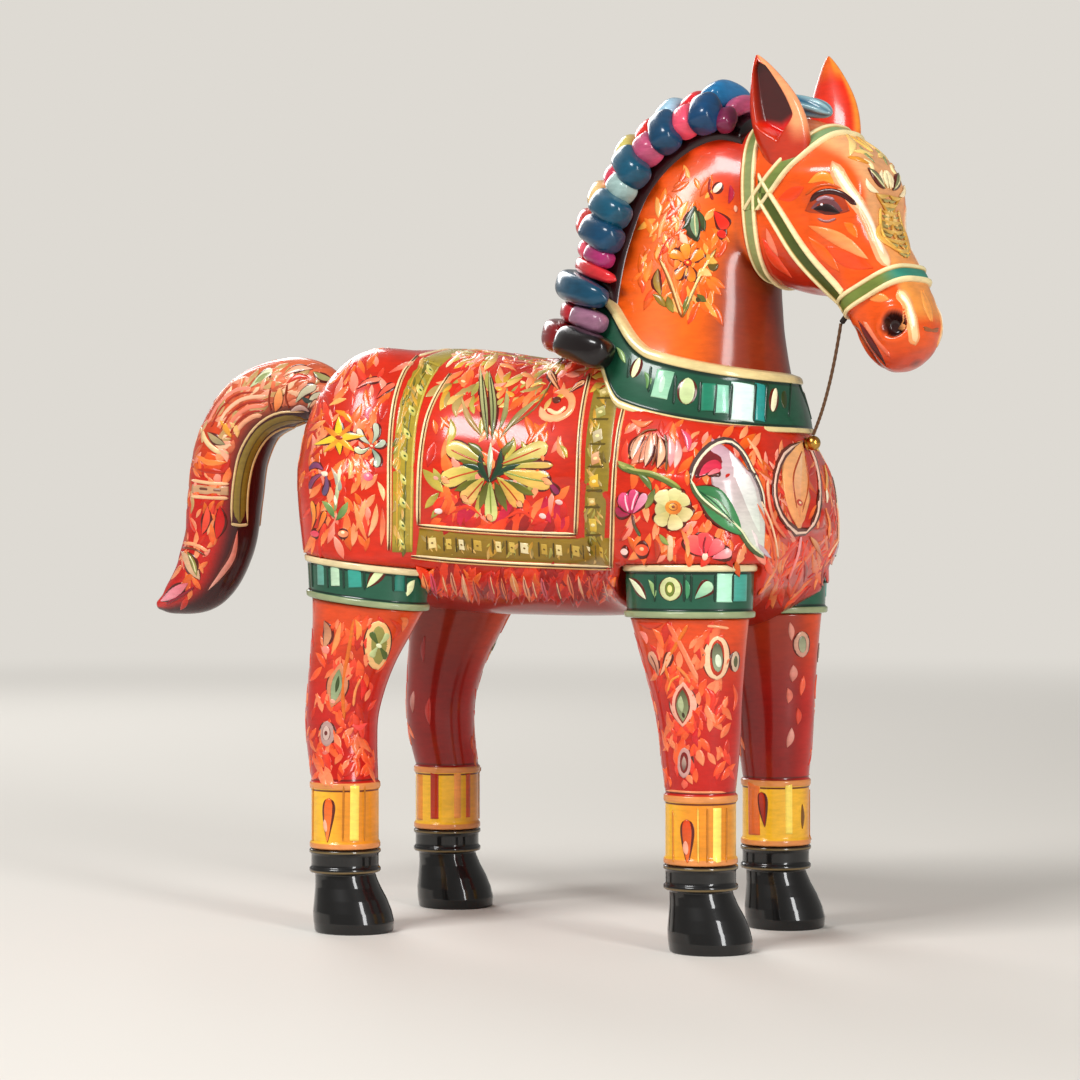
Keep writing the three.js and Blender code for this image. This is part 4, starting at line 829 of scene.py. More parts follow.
def level(function, low, high, target):
    """Where a rising function meets its target between two bounds, by halving."""
    low, high = [np.broadcast_to(bound, np.shape(target)).astype(float) for bound in (low, high)]
    for _ in range(32):
        middle = (low + high) / 2
        under = function(middle) < target
        low, high = np.where(under, middle, low), np.where(under, high, middle)
    return (low + high) / 2


def strap_colours(rows, middle):
    """Cream cords with gold on their inner slopes, and the painted middle, for each point of a strap's rings."""
    w = np.abs(strap_profile[:, 0])
    cord = np.where((w > 1.42)[:, None], hexed("#e9d7a2"), hexed("#a9823a"))
    edge = (w > 1.3)[:, None]
    return np.where(edge[None], cord[None], np.broadcast_to(middle, (rows, 4))[:, None]).reshape(-1, 4)


# Leather under paint: a softer gloss than the wood.
painted_leather = lacquer("painted leather straps", roughness=0.5, unevenness=0.3, coat=0.4)
for name, span, low, high, greens in (("throat_latch", np.pi, 0, 3, ("#8f9a62", "#5f7038")),
                                      ("noseband", np.pi, 4, 11, ("#6b7a34", "#2f7f6c")),
                                      ("browband", 1.66, 0, 6, ("#6f7f3c", "#7f9a6a"))):
    whole = span == np.pi
    angle = np.linspace(-span, span, 200, endpoint=not whole)
    w, v = np.broadcast_arrays(strap_profile[:, 0][None], angle[:, None])
    u = level(lambda place: off_line(bare_head(place, v), name), low, high, w)
    rings = head_point(u, v, strap_profile[:, 1][None])
    front = smooth(np.cos(angle), 0.3, 0.9)
    colours = strap_colours(len(angle), mixed_paint(*greens, front))
    if whole:
        faces = quads(*rings.shape[:2], closed=True)
        points, faces = rings.reshape(-1, 3), outward(rings.reshape(-1, 3), faces)
    else:
        points, faces = capped(rings)
        colours = np.vstack([colours, colours[:1], colours[-1:]])
    solid_mesh(f"{name}_painted", points, faces, colours, painted_leather, "bridle_leather", name)
place = np.linspace(1.0, 6.2, 130)
w, u = np.broadcast_arrays(strap_profile[:, 0][None], place[:, None])
for side, way in (("right", -1), ("left", 1)):
    v = level(lambda angle: off_line(bare_head(u, np.pi - angle), "cheek_strap"), 0.05, np.pi - 0.05, w)
    rings = head_point(u, way * (np.pi - v), strap_profile[:, 1][None])
    points, faces = capped(rings)
    colours = strap_colours(len(place), hexed("#47521f"))
    colours, name = np.vstack([colours, colours[:1], colours[-1:]]), f"cheek_strap_{side}"
    solid_mesh(f"{name}_painted", points, faces, colours, painted_leather, "bridle_leather", name)

# Mane and forelock. A dark strip along the crest carries rolls and beads of hard wax and cloth, dipped in coloured
# lacquer: fat teal rolls, and rows of smaller red, pink and cream beads between them.

mane_foot, mane_head, mane_start, bed_thickness = 2.3, 7.75, 0.85, 2.6
lock_radius, bead_radius, seat_gap = 4.3, 3.7, 0.3
# From the withers up: each node's radius and kind, and its beads or rolls from the crest down each side, by where each
# starts and ends as shares of the row, and its colour.
mane_rows = [
    ("mane_end_tuft", lock_radius * 1.1, "roll", [(0.0, 0.55, "#7c0f14"), (0.55, 1.0, "#0e0506")]),
    ("mane_beads_1", bead_radius * 0.8, "beads", [(0.02, 0.58, "#b8202c"), (0.58, 0.98, "#8f6078")]),
    ("mane_lock_1", lock_radius, "roll", [(0.0, 0.98, "#083f58")]),
    ("mane_lock_2", bead_radius * 0.62, "stripe", [(0.0, 1.0, "#c8262c")]),
    ("mane_beads_2", bead_radius * 0.7, "beads", [(0.02, 0.58, "#dc5064"), (0.58, 0.98, "#94245c")]),
    ("mane_lock_3", lock_radius, "roll", [(0.0, 0.5, "#d2403c"), (0.5, 1.0, "#083a58")]),
    ("mane_lock_4", lock_radius, "roll", [(0.0, 0.52, "#e2bc7c"), (0.52, 1.0, "#0a4a62")]),
    ("mane_beads_3", bead_radius * 0.9, "beads", [(0.02, 0.62, "#c83850"), (0.62, 0.98, "#8fa8a4")]),
    ("mane_lock_5", lock_radius, "roll", [(0.0, 0.5, "#d0c068"), (0.5, 1.0, "#08465e")]),
    ("mane_beads_4", bead_radius, "beads", [(0.0, 0.64, "#d41c14"), (0.64, 0.98, "#b84c70")]),
    ("mane_lock_6", lock_radius, "roll", [(0.0, 0.48, "#9cc0d4"), (0.48, 1.0, "#083c5c")]),
    ("mane_beads_5", bead_radius * 0.95, "beads", [(0.0, 0.58, "#dc1c28"), (0.58, 1.0, "#e04a64")]),
    ("mane_lock_7", lock_radius, "roll", [(0.0, 0.5, "#1a70a4"), (0.5, 1.0, "#083a60")]),
    ("mane_beads_6", bead_radius * 0.7, "beads", [(0.0, 0.6, "#b04c70"), (0.6, 1.0, "#6c1c40")]),
]
mane_line = np.linspace(mane_start, mane_head, 400)
crest_length = run_lengths(neck_point(mane_line, np.pi, seat_gap + bed_thickness + lock_radius))
spare = (crest_length[-1] - sum(2 * radius for _, radius, _, _ in mane_rows)) / len(mane_rows)


def mane_angle(place):
    """The angle that the mane covers on each side of the crest."""
    return np.radians(58 + (place - mane_foot) / (mane_head - mane_foot) * (40 - 58))


def bead(place, start, end, radius, off, grooves):
    """One bead or roll laid round the crest from one angle to another: a bent, rounded block with shallow grooves
    along it."""
    along_it = np.linspace(-1, 1, 34)
    spine_angle = np.pi + start + (end - start) * (along_it + 1) / 2
    spine = neck_point(place, spine_angle, off)
    lengthwise = unit(np.gradient(spine, axis=0))
    out = unit(spine - neck_point(place, spine_angle, off - 1))
    across = np.cross(lengthwise, out)
    spin = full_turn(36)
    girth = radius * (1 - np.abs(along_it) ** 4) ** (1 / 3)
    girth = np.maximum(girth, 0.05 * radius)[:, None] * (1 + 0.035 * np.cos(grooves * spin + 2.5 * along_it[:, None]))
    bent = lambda value: (np.sign(value) * np.abs(value) ** 0.7)[None, :, None]
    ways = bent(np.cos(spin)) * out[:, None] + bent(np.sin(spin)) * across[:, None]
    return spine[:, None] + girth[..., None] * ways


# Hard, glossy lacquer over rolled cloth.
rolled_cloth = lacquer("lacquered rolled cloth", streak=0.3, unevenness=0.2, coat=0.8)
reach_along, groove_count = 0.0, 3
for name, radius, kind, row in mane_rows:
    reach_along += radius + spare / 2
    place = np.interp(reach_along, crest_length, mane_line)
    reach_along += radius + spare / 2
    seat = 2.3 if place < mane_foot else bed_thickness + seat_gap
    half = mane_angle(place) * (1.12 if kind == "beads" else 1.2)
    fat = radius * (1.06 if kind == "beads" else 1.03)
    points, faces, colours, total = [], [], [], 0
    for start, end, colour in row:
        for first, last in [(-end, end)] if start == 0 else [(start, end), (-start, -end)]:
            rings = bead(place, first * half, last * half, fat, seat + 0.5 * seat_gap + radius, groove_count)
            made, parts = capped(rings)
            points.append(made)
            faces += [part + total for part in parts]
            colours.append(np.tile(hexed(colour), (len(made), 1)))
            total += len(made)
    slot = "mane_blue_lacquer" if kind == "roll" else "mane_bead_lacquer"
    slot = "mane_dark_lacquer" if name == "mane_end_tuft" else slot
    solid_mesh(f"{name}_painted", np.vstack(points), faces, np.vstack(colours), rolled_cloth, slot, name)

bed_place = np.linspace(mane_foot, mane_head + 0.1, 110)
fold = np.linspace(-1, 1, 41)
bed_angle = np.pi + fold[None] * mane_angle(bed_place)[:, None] * 1.06
bed_off = np.tile(bed_thickness * (1 - np.abs(fold) ** 6) ** 0.5 + 0.1, (len(bed_place), 1))
outer = neck_point(bed_place[:, None], bed_angle, bed_off)
inner = neck_point(bed_place[:, None], bed_angle, -1.5)[:, ::-1]
points, faces = capped(np.concatenate([outer, inner], axis=1))
# The bed is near black, a little redder at its edges: partly its dark paint and partly painted shade under the locks.
shade = mixed_paint("#0c0506", "#2c060a", smooth(np.abs(np.concatenate([fold, fold[::-1]])), 0.8, 1.0))
colours = np.vstack([np.tile(shade, (len(bed_place), 1)), shade[:1], shade[-1:]])
solid_mesh("mane_bed_painted", points, faces, colours, rolled_cloth, "mane_dark_lacquer", "mane_bed")

fore = np.linspace(0, 1, 70)
spine = head_point(0.45 + 2.1 * fore, 0.0, 0.76 * lock_radius)
lengthwise = unit(np.gradient(spine, axis=0))
side = turned(np.array([head_pivot, 1.0, 0])) - turned(np.array([head_pivot, 0.0, 0]))
out = np.cross(lengthwise, side)
spin = full_turn(48)
girth = 0.84 * lock_radius * np.maximum(1 - np.abs(2 * fore - 1) ** 4, 0.003) ** 0.5 * (1 - 0.3 * fore)
twist = np.cos(6 * spin[None] + 5 * fore[:, None])
rings = spine[:, None] + (girth[:, None] * (1 + 0.09 * twist))[..., None] * around(spin[None], out[:, None], side)
points, faces = capped(rings)
pale = smooth(fore, 0.1, 1)[:, None] * 0.7 + 0.4 * twist
colours = mixed_paint("#14506c", "#86aab0", np.append(pale, [0, 1]))
solid_mesh("forelock_painted", points, faces, colours, rolled_cloth, "forelock_lacquer", "forelock")

# Tail. Carved from one piece with a peg into the rump: it arches out, falls and flicks back at its tip.

tail_fall = np.array([[-79, 0, 155], [-86, 0, 158.5], [-95, 0, 158.5], [-108, 0, 153], [-115.5, 0, 141],
                      [-118, 0, 127], [-120, 0, 113], [-126, 0, 101.5], [-137, 0, 94.5], [-142, 0, 93]])
tail_shape = [[0, 0.6, 0.62], [0.1, 0.84, 0.85], [0.3, 1, 1], [0.72, 1, 0.95], [0.84, 0.86, 0.8], [0.93, 0.5, 0.5],
              [1, 0.12, 0.15]]
tail_depth, tail_width = 23.0, 19.0
chords = run_lengths(tail_fall, 0.5)
dense_tail = along(np.column_stack([chords, tail_fall]), np.linspace(0, chords[-1], 600))
tail_length = run_lengths(dense_tail)


def tail_spine(share):
    """The middle of the tail at a share of its length."""
    return np.stack([np.interp(share, tail_length / tail_length[-1], dense_tail[:, n]) for n in range(3)], -1)


def tail_point(share, angle, off=0.0):
    """The tail's skin, or off it: angle 0 is its outer edge and a quarter turn its right side."""
    share, angle, off = np.broadcast_arrays(np.asarray(share, float), angle, off)
    depth, width = np.moveaxis(along(tail_shape, share), -1, 0)
    run = unit(tail_spine(np.minimum(share + 0.012, 1)) - tail_spine(np.maximum(share - 0.012, 0)))
    outer = np.stack([run[..., 2], 0 * share, -run[..., 0]], -1)
    a, b = depth * tail_depth / 2 + off, width * tail_width / 2 + off
    return tail_spine(share) + outer * (a * np.cos(angle))[..., None] - np.stack([0 * a, b * np.sin(angle), 0 * a], -1)


share, angle = lattice(np.linspace(0, 1, 200), full_turn(96))
rings = tail_point(share, angle)
points, faces = capped(rings)
# The tail's inner edge, towards the rump, darkens to maroon: partly dark paint and partly painted shade.
inside = smooth(-np.cos(angle), 0.2, 0.7)
upper_tail = mixed_paint("#cc6038", "#c43a18", smooth(share, 0.15, 0.45))
lower_tail = mixed_paint("#c43a18", "#c01408", smooth(share, 0.45, 0.56))
colours = over(np.where((share < 0.45)[..., None], upper_tail, lower_tail), inside, "#3c060a")
colours = np.vstack([colours.reshape(-1, 4), hexed("#c22a14"), hexed("#c8506a")])
solid_mesh("tail_painted", points, faces, colours, painted_wood, "tail_lacquer", "tail")

# Knob and staple. A turned brass knob on a stem holds the cord on the chest, and a staple of blackened iron wire,
# driven into the jaw, holds it under the noseband.

knob_centre, knob_radius = np.array([74.3, 0, 141.0]), 2.1
to_left = np.array([0.0, 1, 0])
# Brass gone a little dull in spots about a millimetre wide, and iron wire, black and half dull from the forge.
brass = grained("turned brass", 900.0, 3.0, "#a8742c", "#e2b65c", {"Metallic": 1.0, "Roughness": 0.28})
iron = grained("blackened iron wire", 1500.0, 3.0, "#1a1614", "#3a332e", {"Metallic": 0.7, "Roughness": 0.45})
profile = np.array([[-5.2, 0.9], [-2.3, 0.9], [-2.1, 1.6], [-1.7, 1.75], [-1.5, 1.3], [-1.3, 1.65]])
sweep = np.linspace(np.arccos(profile[-1, 0] / knob_radius), 0.02, 24)
profile = np.vstack([profile, np.column_stack([knob_radius * np.cos(sweep), knob_radius * np.sin(sweep)])])
spin = full_turn(40)
ahead = unit(np.array([5.0, 0, 1.0]))
rings = knob_centre + profile[:, :1, None] * ahead
rings = rings + profile[:, 1:, None] * around(spin[None], to_left, np.cross(to_left, ahead))
solid_mesh("knob_turned", *capped(rings), None, brass, "knob_brass", "chest_knob")
staple_way, staple_radius = unit(np.array([0.6, 0, 0.8])), 0.8
staple_line = cord_places[0] + np.linspace(0.3, 7.3, 30)[:, None] * staple_way
girth = np.full(len(staple_line), staple_radius)
girth[0] = 0.5
rings = staple_line[:, None] + girth[:, None, None] * around(spin[None], to_left, np.cross(staple_way, to_left))
solid_mesh("staple_wire", *capped(rings), None, iron, "staple_iron", "chin_staple")

# Painting. Flowers, leaves and borders are brushed on in thick oil paint before the lacquer, so each stroke stands
# 0.1 to 0.7 mm proud. The painter keeps both sides alike, so most strokes have their mirror image.

trunk_axis_height, fan_radius = 131.0, 30.0
stroke_rows, stroke_columns, longest_step, outline_ink = 21, 7, 25.0, "#56160b"
widest_bare, outline_spare, outline_below = 2.9, 0.7, 0.6
first_layer, layer_step, sunk_edge, fullness = 0.2, 0.08, 0.15, 6
least_shown, coarse_step, widest_turn = 0.5, 3, 45


def trunk_grid(rows=230, columns=420):
    """The trunk's skin by rays from its axis, which fan out over the rump and the chest."""
    reach, spin = lattice(np.linspace(-92, 88, rows), full_turn(columns))
    start = np.clip(reach, -48, 40)
    tilt = (reach - start) / fan_radius
    way = np.stack([np.sin(tilt), -np.cos(tilt) * np.sin(spin), np.cos(tilt) * np.cos(spin)], -1)
    origin = np.stack([start, 0 * start, 0 * start + trunk_axis_height], -1)
    nearest, farthest = 6.0, 75.0
    length = level(lambda t: trunk_field(origin + way * t[..., None]), nearest, farthest, np.zeros(reach.shape))
    return origin + way * length[..., None]


def form(grid):
    """A skin as a grid of points and outward normals, joined round its columns."""
    down = np.gradient(grid, axis=0)
    round_it = np.roll(grid, -1, 1) - np.roll(grid, 1, 1)
    normals = unit(np.cross(down, round_it))
    facing = np.einsum("ijk,ijk->", normals, grid - grid.mean(1, keepdims=True))
    return np.concatenate([grid, normals * np.sign(facing)], -1)


def at(skin, place):
    """A form's point and normal at fractional rows and columns."""
    rows, columns = skin.shape[:2]
    i, j = np.clip(place[..., 0], 0, rows - 1.001), place[..., 1] % columns
    i0, j0 = np.floor(i).astype(int), np.floor(j).astype(int) % columns
    a, b = (i - i0)[..., None], (j - np.floor(j))[..., None]
    near, far = [skin[row, j0] * (1 - b) + skin[row, (j0 + 1) % columns] * b for row in (i0, i0 + 1)]
    return near * (1 - a) + far * a


def crossed(a, b):
    """The cross product of vectors in a plane."""
    return a[..., 0] * b[..., 1] - a[..., 1] * b[..., 0]


def solved(skin, start, measure, target, rounds=14):
    """The places on a form where a measure of two numbers meets its target, by Newton's steps."""
    read = lambda where: measure(at(skin, where)[..., :3])
    place = np.array(np.broadcast_to(start, (*target.shape[:-1], 2)), float)
    for _ in range(rounds):
        miss = target - read(place)
        di, dj = [read(place + s) - read(place - s) for s in ([0.5, 0], [0, 0.5])]
        size = crossed(di, dj)
        size = np.where(np.abs(size) < 1e-9, 1e-9, size)
        step = np.stack([crossed(miss, dj), crossed(di, miss)], -1)
        place = place + np.clip(step / size[..., None], -6, 6)
    return place


def pictured(points):
    """Where points appear in the photograph, in pixels from its upper left corner."""
    away = points - eye
    depth = -(away @ back)
    offset = np.stack([away @ right, -(away @ above)], -1)
    return photo_size / 2 + focal_pixels * offset / depth[..., None]


def from_behind(points):
    """Where points appear from straight behind the horse, as millimetres across and up."""
    return points[..., 1:]


def from_above(points):
    """Where points appear from straight above, as millimetres ahead and across."""
    return points[..., :2]


def seen(skin, pixels, view=pictured, viewer=eye):
    """The places on a form that the photograph, or another view, shows at some pixels."""
    sparse = skin[::coarse_step, ::coarse_step]
    facing = ((viewer - sparse[..., :3]) * sparse[..., 3:]).sum(-1) > 0
    spots = np.where(facing[..., None], view(sparse[..., :3]), 1e6).reshape(-1, 2)
    nearest = np.array([np.argmin(((spots - pixel) ** 2).sum(-1)) for pixel in pixels.reshape(-1, 2)])
    start = np.stack(np.unravel_index(nearest, sparse.shape[:2]), -1).reshape(pixels.shape) * coarse_step
    return solved(skin, start, view, pixels)


def outline(kind, share):
    """A stroke's half width along its length, as a share of its greatest: a line, a square bar, a pointed leaf, a
    petal with a round tip, or a dot."""
    s = np.clip(share, 0.0005, 0.9995)
    return {
        "line": np.minimum(1, (12 * s * (1 - s)) ** 0.5), "bar": np.ones_like(s), "leaf": np.sin(np.pi * s) ** 0.85,
        "petal": 1.25 * s**0.75 * (1 - s**5) ** 0.5, "dot": 2 * (s * (1 - s)) ** 0.5,
    }[kind]


def strokes(text):
    """Strokes read from text parted by semicolons: each one's kind, width in millimetres, layer, one or two colours,
    and the points of its path in pixels of an enlargement."""
    parts = [stroke.split() for stroke in text.split(";")]
    return [(kind, float(width), float(stage), " ".join(f"#{code}" for code in tint.split("-")),
             *[tuple(float(number) for number in point.split(",")) for point in path])
            for kind, width, stage, tint, *path in parts]


def smooth_path(points):
    """A path resampled on a smooth curve through its points."""
    points = np.asarray(points, float)
    if len(points) == 2:
        return points[0] + np.linspace(0, 1, stroke_rows)[:, None] * (points[1] - points[0])
    steps = run_lengths(points)
    ghosts = np.vstack([2 * points[0] - points[1], points, 2 * points[-1] - points[-2]])
    knots = np.concatenate([[-steps[1]], steps, [2 * steps[-1] - steps[-2]]])
    return along(np.column_stack([knots, ghosts]), np.linspace(0, steps[-1], stroke_rows))


def brushed(skin, drawn, corner=(0, 0), scale=1.0, view=pictured, viewer=eye):
    """The places of strokes on a form with their half widths, heights and colours. A stroke is its kind, width in
    millimetres, layer, colour at its ends, and path, read in an enlargement of the photograph from a corner. A wide
    stroke lies on a darker one, which shows as its outline. Strokes that fall beside the form are left out."""
    inked = [(kind, width + outline_spare, stage - outline_below, outline_ink, *path)
             for kind, width, stage, _, *path in drawn
             if width > widest_bare and stage >= 1 and kind not in ("bar", "line")]
    drawn = inked + drawn
    paths = np.array([smooth_path(path) for _, _, _, _, *path in drawn]) / scale + corner
    share = np.linspace(0, 1, stroke_rows)
    widths = np.array([width / 2 * outline(kind, share) for kind, width, *_ in drawn])
    heights = np.array([first_layer + layer_step * stage for _, _, stage, *_ in drawn])
    ends = [code.split() for _, _, _, code, *_ in drawn]
    colours = np.array([mixed_paint(pair[0], pair[-1], share) for pair in ends])
    places = seen(skin, paths, view, viewer)
    solid = at(skin, places)[..., :3]
    shown, meant, step = [np.linalg.norm(np.diff(line, axis=1), axis=-1) for line in (view(solid), paths, solid)]
    run = np.diff(solid, axis=1)
    onward = (run[:, 1:] * run[:, :-1]).sum(-1).min(1) > 0
    kept = (shown.sum(1) > least_shown * meant.sum(1)) & (step.max(1) < longest_step) & onward
    return [part[kept] for part in (places, widths, heights, colours)]


def scattered(seed, line, spread, count, palette, wide, long, lean, stage=-0.9):
    """Small leaves strewn within a distance of a line, each bent a little, in a layer under the main strokes. Lean is
    their direction in degrees, 90 for upright, and they differ from it by up to 45 degrees."""
    draw = np.random.default_rng(seed)
    line = np.array(line, float)
    steps = run_lengths(line)
    leaves = []
    for _ in range(count):
        along_line, off, turn, size, bend = draw.uniform(0, steps[-1]), *draw.uniform(-1, 1, 4)
        middle, before = [np.array([np.interp(place, steps, line[:, k]) for k in (0, 1)])
                          for place in (along_line, along_line - 1)]
        run = (middle - before) / max(np.linalg.norm(middle - before), 1e-6)
        middle = middle + off * spread * np.array([-run[1], run[0]])
        way = np.radians(lean + widest_turn * turn)
        reach = long * (1 + 0.4 * size) / 2 * np.array([np.cos(way), -np.sin(way)])
        path = [middle - reach, middle + 0.25 * bend * reach[::-1], middle + reach]
        tint = palette[draw.integers(len(palette))]
        leaves.append(("leaf", wide * (1 + 0.35 * size), stage + 0.6 * draw.uniform(), tint, *path))
    return leaves


def strewn(*rows):
    """The leaves of several scatterings, one after the other."""
    return [leaf for row in rows for leaf in scattered(*row)]


def laid(name, skin, drawings, node_name, slot, sides=False, lift=0.0, alone=None, every=1):
    """Builds the strokes of drawings, each with its view, as thin closed domes on a form: as one mesh with their
    mirror images, as one for each side, or, where sides is None, alone. Small strokes need only every second row."""
    batches = [brushed(skin, drawn, **view) for drawn, view in drawings]
    places, widths, heights, colours = [np.concatenate(parts) for parts in zip(*batches)]
    if sides is False:
        places, widths = np.vstack([places, places * [1, -1]]), np.vstack([widths] * 2)
        heights, colours = np.tile(heights, 2), np.vstack([colours] * 2)
    if alone:
        mirrored, single = (places, widths, heights, colours), brushed(skin, alone[0], **alone[1])
        places, widths, heights, colours = [np.concatenate(pair) for pair in zip(mirrored, single)]
    places, widths, colours = [part[:, ::every] for part in (places, widths, colours)]
    here = at(skin, places)
    middle, normal = here[..., :3], here[..., 3:]
    run = unit(np.gradient(middle, axis=1))
    side = unit(np.cross(normal, run))
    across = np.sin(np.linspace(-1, 1, stroke_columns) * np.pi / 2)
    frame_axes = np.stack([run, side], -1)[:, :, None]
    measure = lambda points: np.einsum("...i,...ij->...j", points - middle[:, :, None], frame_axes)
    target = np.stack(np.broadcast_arrays(0.0, widths[..., None] * across), -1)
    spread = at(skin, solved(skin, places[:, :, None], measure, target, 7))
    edge = across**fullness
    rise = lift + heights[:, None, None] * (1 - edge) - sunk_edge * edge
    rings = spread[..., :3] + spread[..., 3:] * rise[..., None]
    faces = capped(rings[0])[1]
    points = np.concatenate([rings.reshape(len(rings), -1, 3), rings[:, [0, -1]].mean(2)], 1)
    tint = np.concatenate([np.repeat(colours, stroke_columns, axis=1), colours[:, [0, -1]]], 1)
    shift = (np.arange(len(rings)) * points.shape[1])[:, None, None]
    faces = [(part + shift).reshape(-1, part.shape[1]) for part in faces]
    build = both_sides if sides else solid_mesh
    build(name, points.reshape(-1, 3), faces, tint.reshape(-1, 4), painted_wood, slot, node_name)


def enlarged(x, y, scale):
    """The photograph's view, enlarged from a corner pixel on."""
    return {"corner": (x, y), "scale": scale}


saddle_view, chest_view, neck_view = enlarged(280, 330, 4.356), enlarged(560, 300, 4.612), enlarged(540, 150, 5.405)
rear_band_view, tail_view, face_view = enlarged(230, 300, 3.2), enlarged(150, 350, 5.703), enlarged(640, 100, 5.058)
front_leg_view, rear_leg_view = enlarged(600, 590, 6.535), enlarged(295, 590, 6.535)
from_rear = {"view": from_behind, "viewer": np.array([-1000.0, 0, 120])}
from_top = {"view": from_above, "viewer": np.array([0.0, 0, 1000])}
trunk_form = form(trunk_grid())

# Saddle cloth. It is painted on the trunk: a red field with a palmette, framed by cream double lines and olive
# and gold borders. Paths are read in a 4.356 times enlargement of the photograph from pixel (280, 330).

cream = "#ecd3a0"
outer_left = [(600, 112), (548, 170), (508, 270), (488, 380), (478, 520), (476, 680), (476, 840), (474, 960)]
inner_left = [(742, 190), (692, 265), (648, 360), (622, 470), (608, 600), (603, 730), (602, 850)]
inner_right = [(1352, 190), (1330, 280), (1312, 390), (1302, 520), (1298, 650), (1293, 780), (1288, 892)]
outer_right = [(1500, 330), (1478, 430), (1462, 560), (1453, 700), (1448, 860), (1444, 1034)]
lower_inner = [(602, 852), (760, 866), (930, 878), (1110, 887), (1290, 892)]
lower_outer = [(570, 986), (760, 1004), (980, 1018), (1220, 1028), (1446, 1036)]
shifted = lambda path, dx, dy=0.0: [(x + dx, y + dy) for x, y in path]
border_left = [(600, 112), (548, 170), (508, 270), (488, 400), (478, 560), (476, 760), (474, 960)]
border_right = [(742, 150), (692, 230), (640, 330), (612, 460), (600, 600), (596, 780), (592, 975)]
border_middle = [((a[0] + b[0]) / 2, (a[1] + b[1]) / 2) for a, b in zip(border_left, border_right)]
saddle = [("bar", 6.6, 0, "#a08a28", *border_middle)] + strokes("""
    bar 10 0 8a7424 1424,250 1402,380 1386,520 1379,680 1374,840 1372,985;
    bar 8.8 0 8f6f16 600,924 760,938 930,950 1110,960 1300,966 1440,968
""")
for path in (outer_left, inner_left, inner_right, outer_right):
    saddle += [("line", 1.5, 1, "#5a3412", *path), ("line", 0.75, 2, cream, *shifted(path, -5.5)),
               ("line", 0.6, 2, "#dcae74", *shifted(path, 7))]
for path in (lower_inner, lower_outer):
    saddle += [("line", 1.5, 1, "#5a3412", *path), ("line", 0.8, 2, cream, *shifted(path, 0, -5)),
               ("line", 0.6, 2, "#d8a566", *shifted(path, 0, 8))]
# Left border: stripes of gold and green, with pale lozenges
saddle += strokes("""
    line 0.7 1 c99a2e 640,130 585,205 545,320 524,450 514,600 510,780 508,965;
    line 0.6 1 5c5a16 672,136 618,212 576,330 556,460 547,600 543,780 540,968;
    line 0.7 1 c9b04a 705,145 650,224 606,345 584,470 576,620 572,790 570,970
""")
for x, y, wide in ((655, 175, 2.6), (612, 262, 2.4), (578, 352, 2.4), (556, 452, 2.2), (545, 548, 2.6), (540, 650, 2.0),
                   (538, 752, 2.3), (536, 850, 2.0), (534, 930, 1.8)):
    saddle += [("leaf", wide, 2, "#d9cf78 #b9b04a", (x - 14, y - 24), (x + 8, y + 26)),
               ("dot", 0.9, 3, "#3c5a26", (x - 6, y - 3), (x + 4, y + 7))]
# Right border: gold squares between dark bars, flowers above
for x, y, tall, tint in (
    (1370, 660, 3.6, "#e0b83e #c99626"), (1362, 748, 2.2, "#e8c87a #c9963c"), (1366, 850, 4.0, "#e2be48 #c8a02e"),
    (1376, 560, 3.4, "#e6b088 #c98a5a"), (1384, 462, 3.4, "#c9b896 #a89a6a"), (1398, 358, 3.0, "#b9b070 #8f8a3c"),
    (1414, 272, 2.4, "#d8c27e #a8923c"),
):
    saddle += [("bar", 4.6, 1, tint, (x - 2, y - tall * 7), (x + 2, y + tall * 7)),
               ("line", 0.9, 2, "#5a4a10", (x - 34, y + tall * 10.5), (x + 36, y + tall * 10.5)),
               ("dot", 1.5, 2, "#f0dc9a", (x - 9, y), (x + 9, y))]
# Lower border: pale squares and small chevrons
for n, x in enumerate((660, 735, 790, 860, 950, 1010, 1064, 1150, 1214, 1290, 1345, 1400)):
    y = 925 + (x - 660) * 0.055
    tint = ("#e9d08a", "#d8b450", "#f0dfae", "#c9a23c")[n % 4]
    saddle += [("bar", 2.6 if n % 3 else 3.6, 1, tint, (x, y - 20), (x + 4, y + 24)),
               ("line", 0.6, 2, "#4a3a0c", (x - 22, y - 30), (x - 20, y + 34)),
               ("dot", 0.9, 2, "#7a5a14", (x - 3, y), (x + 7, y + 4))]
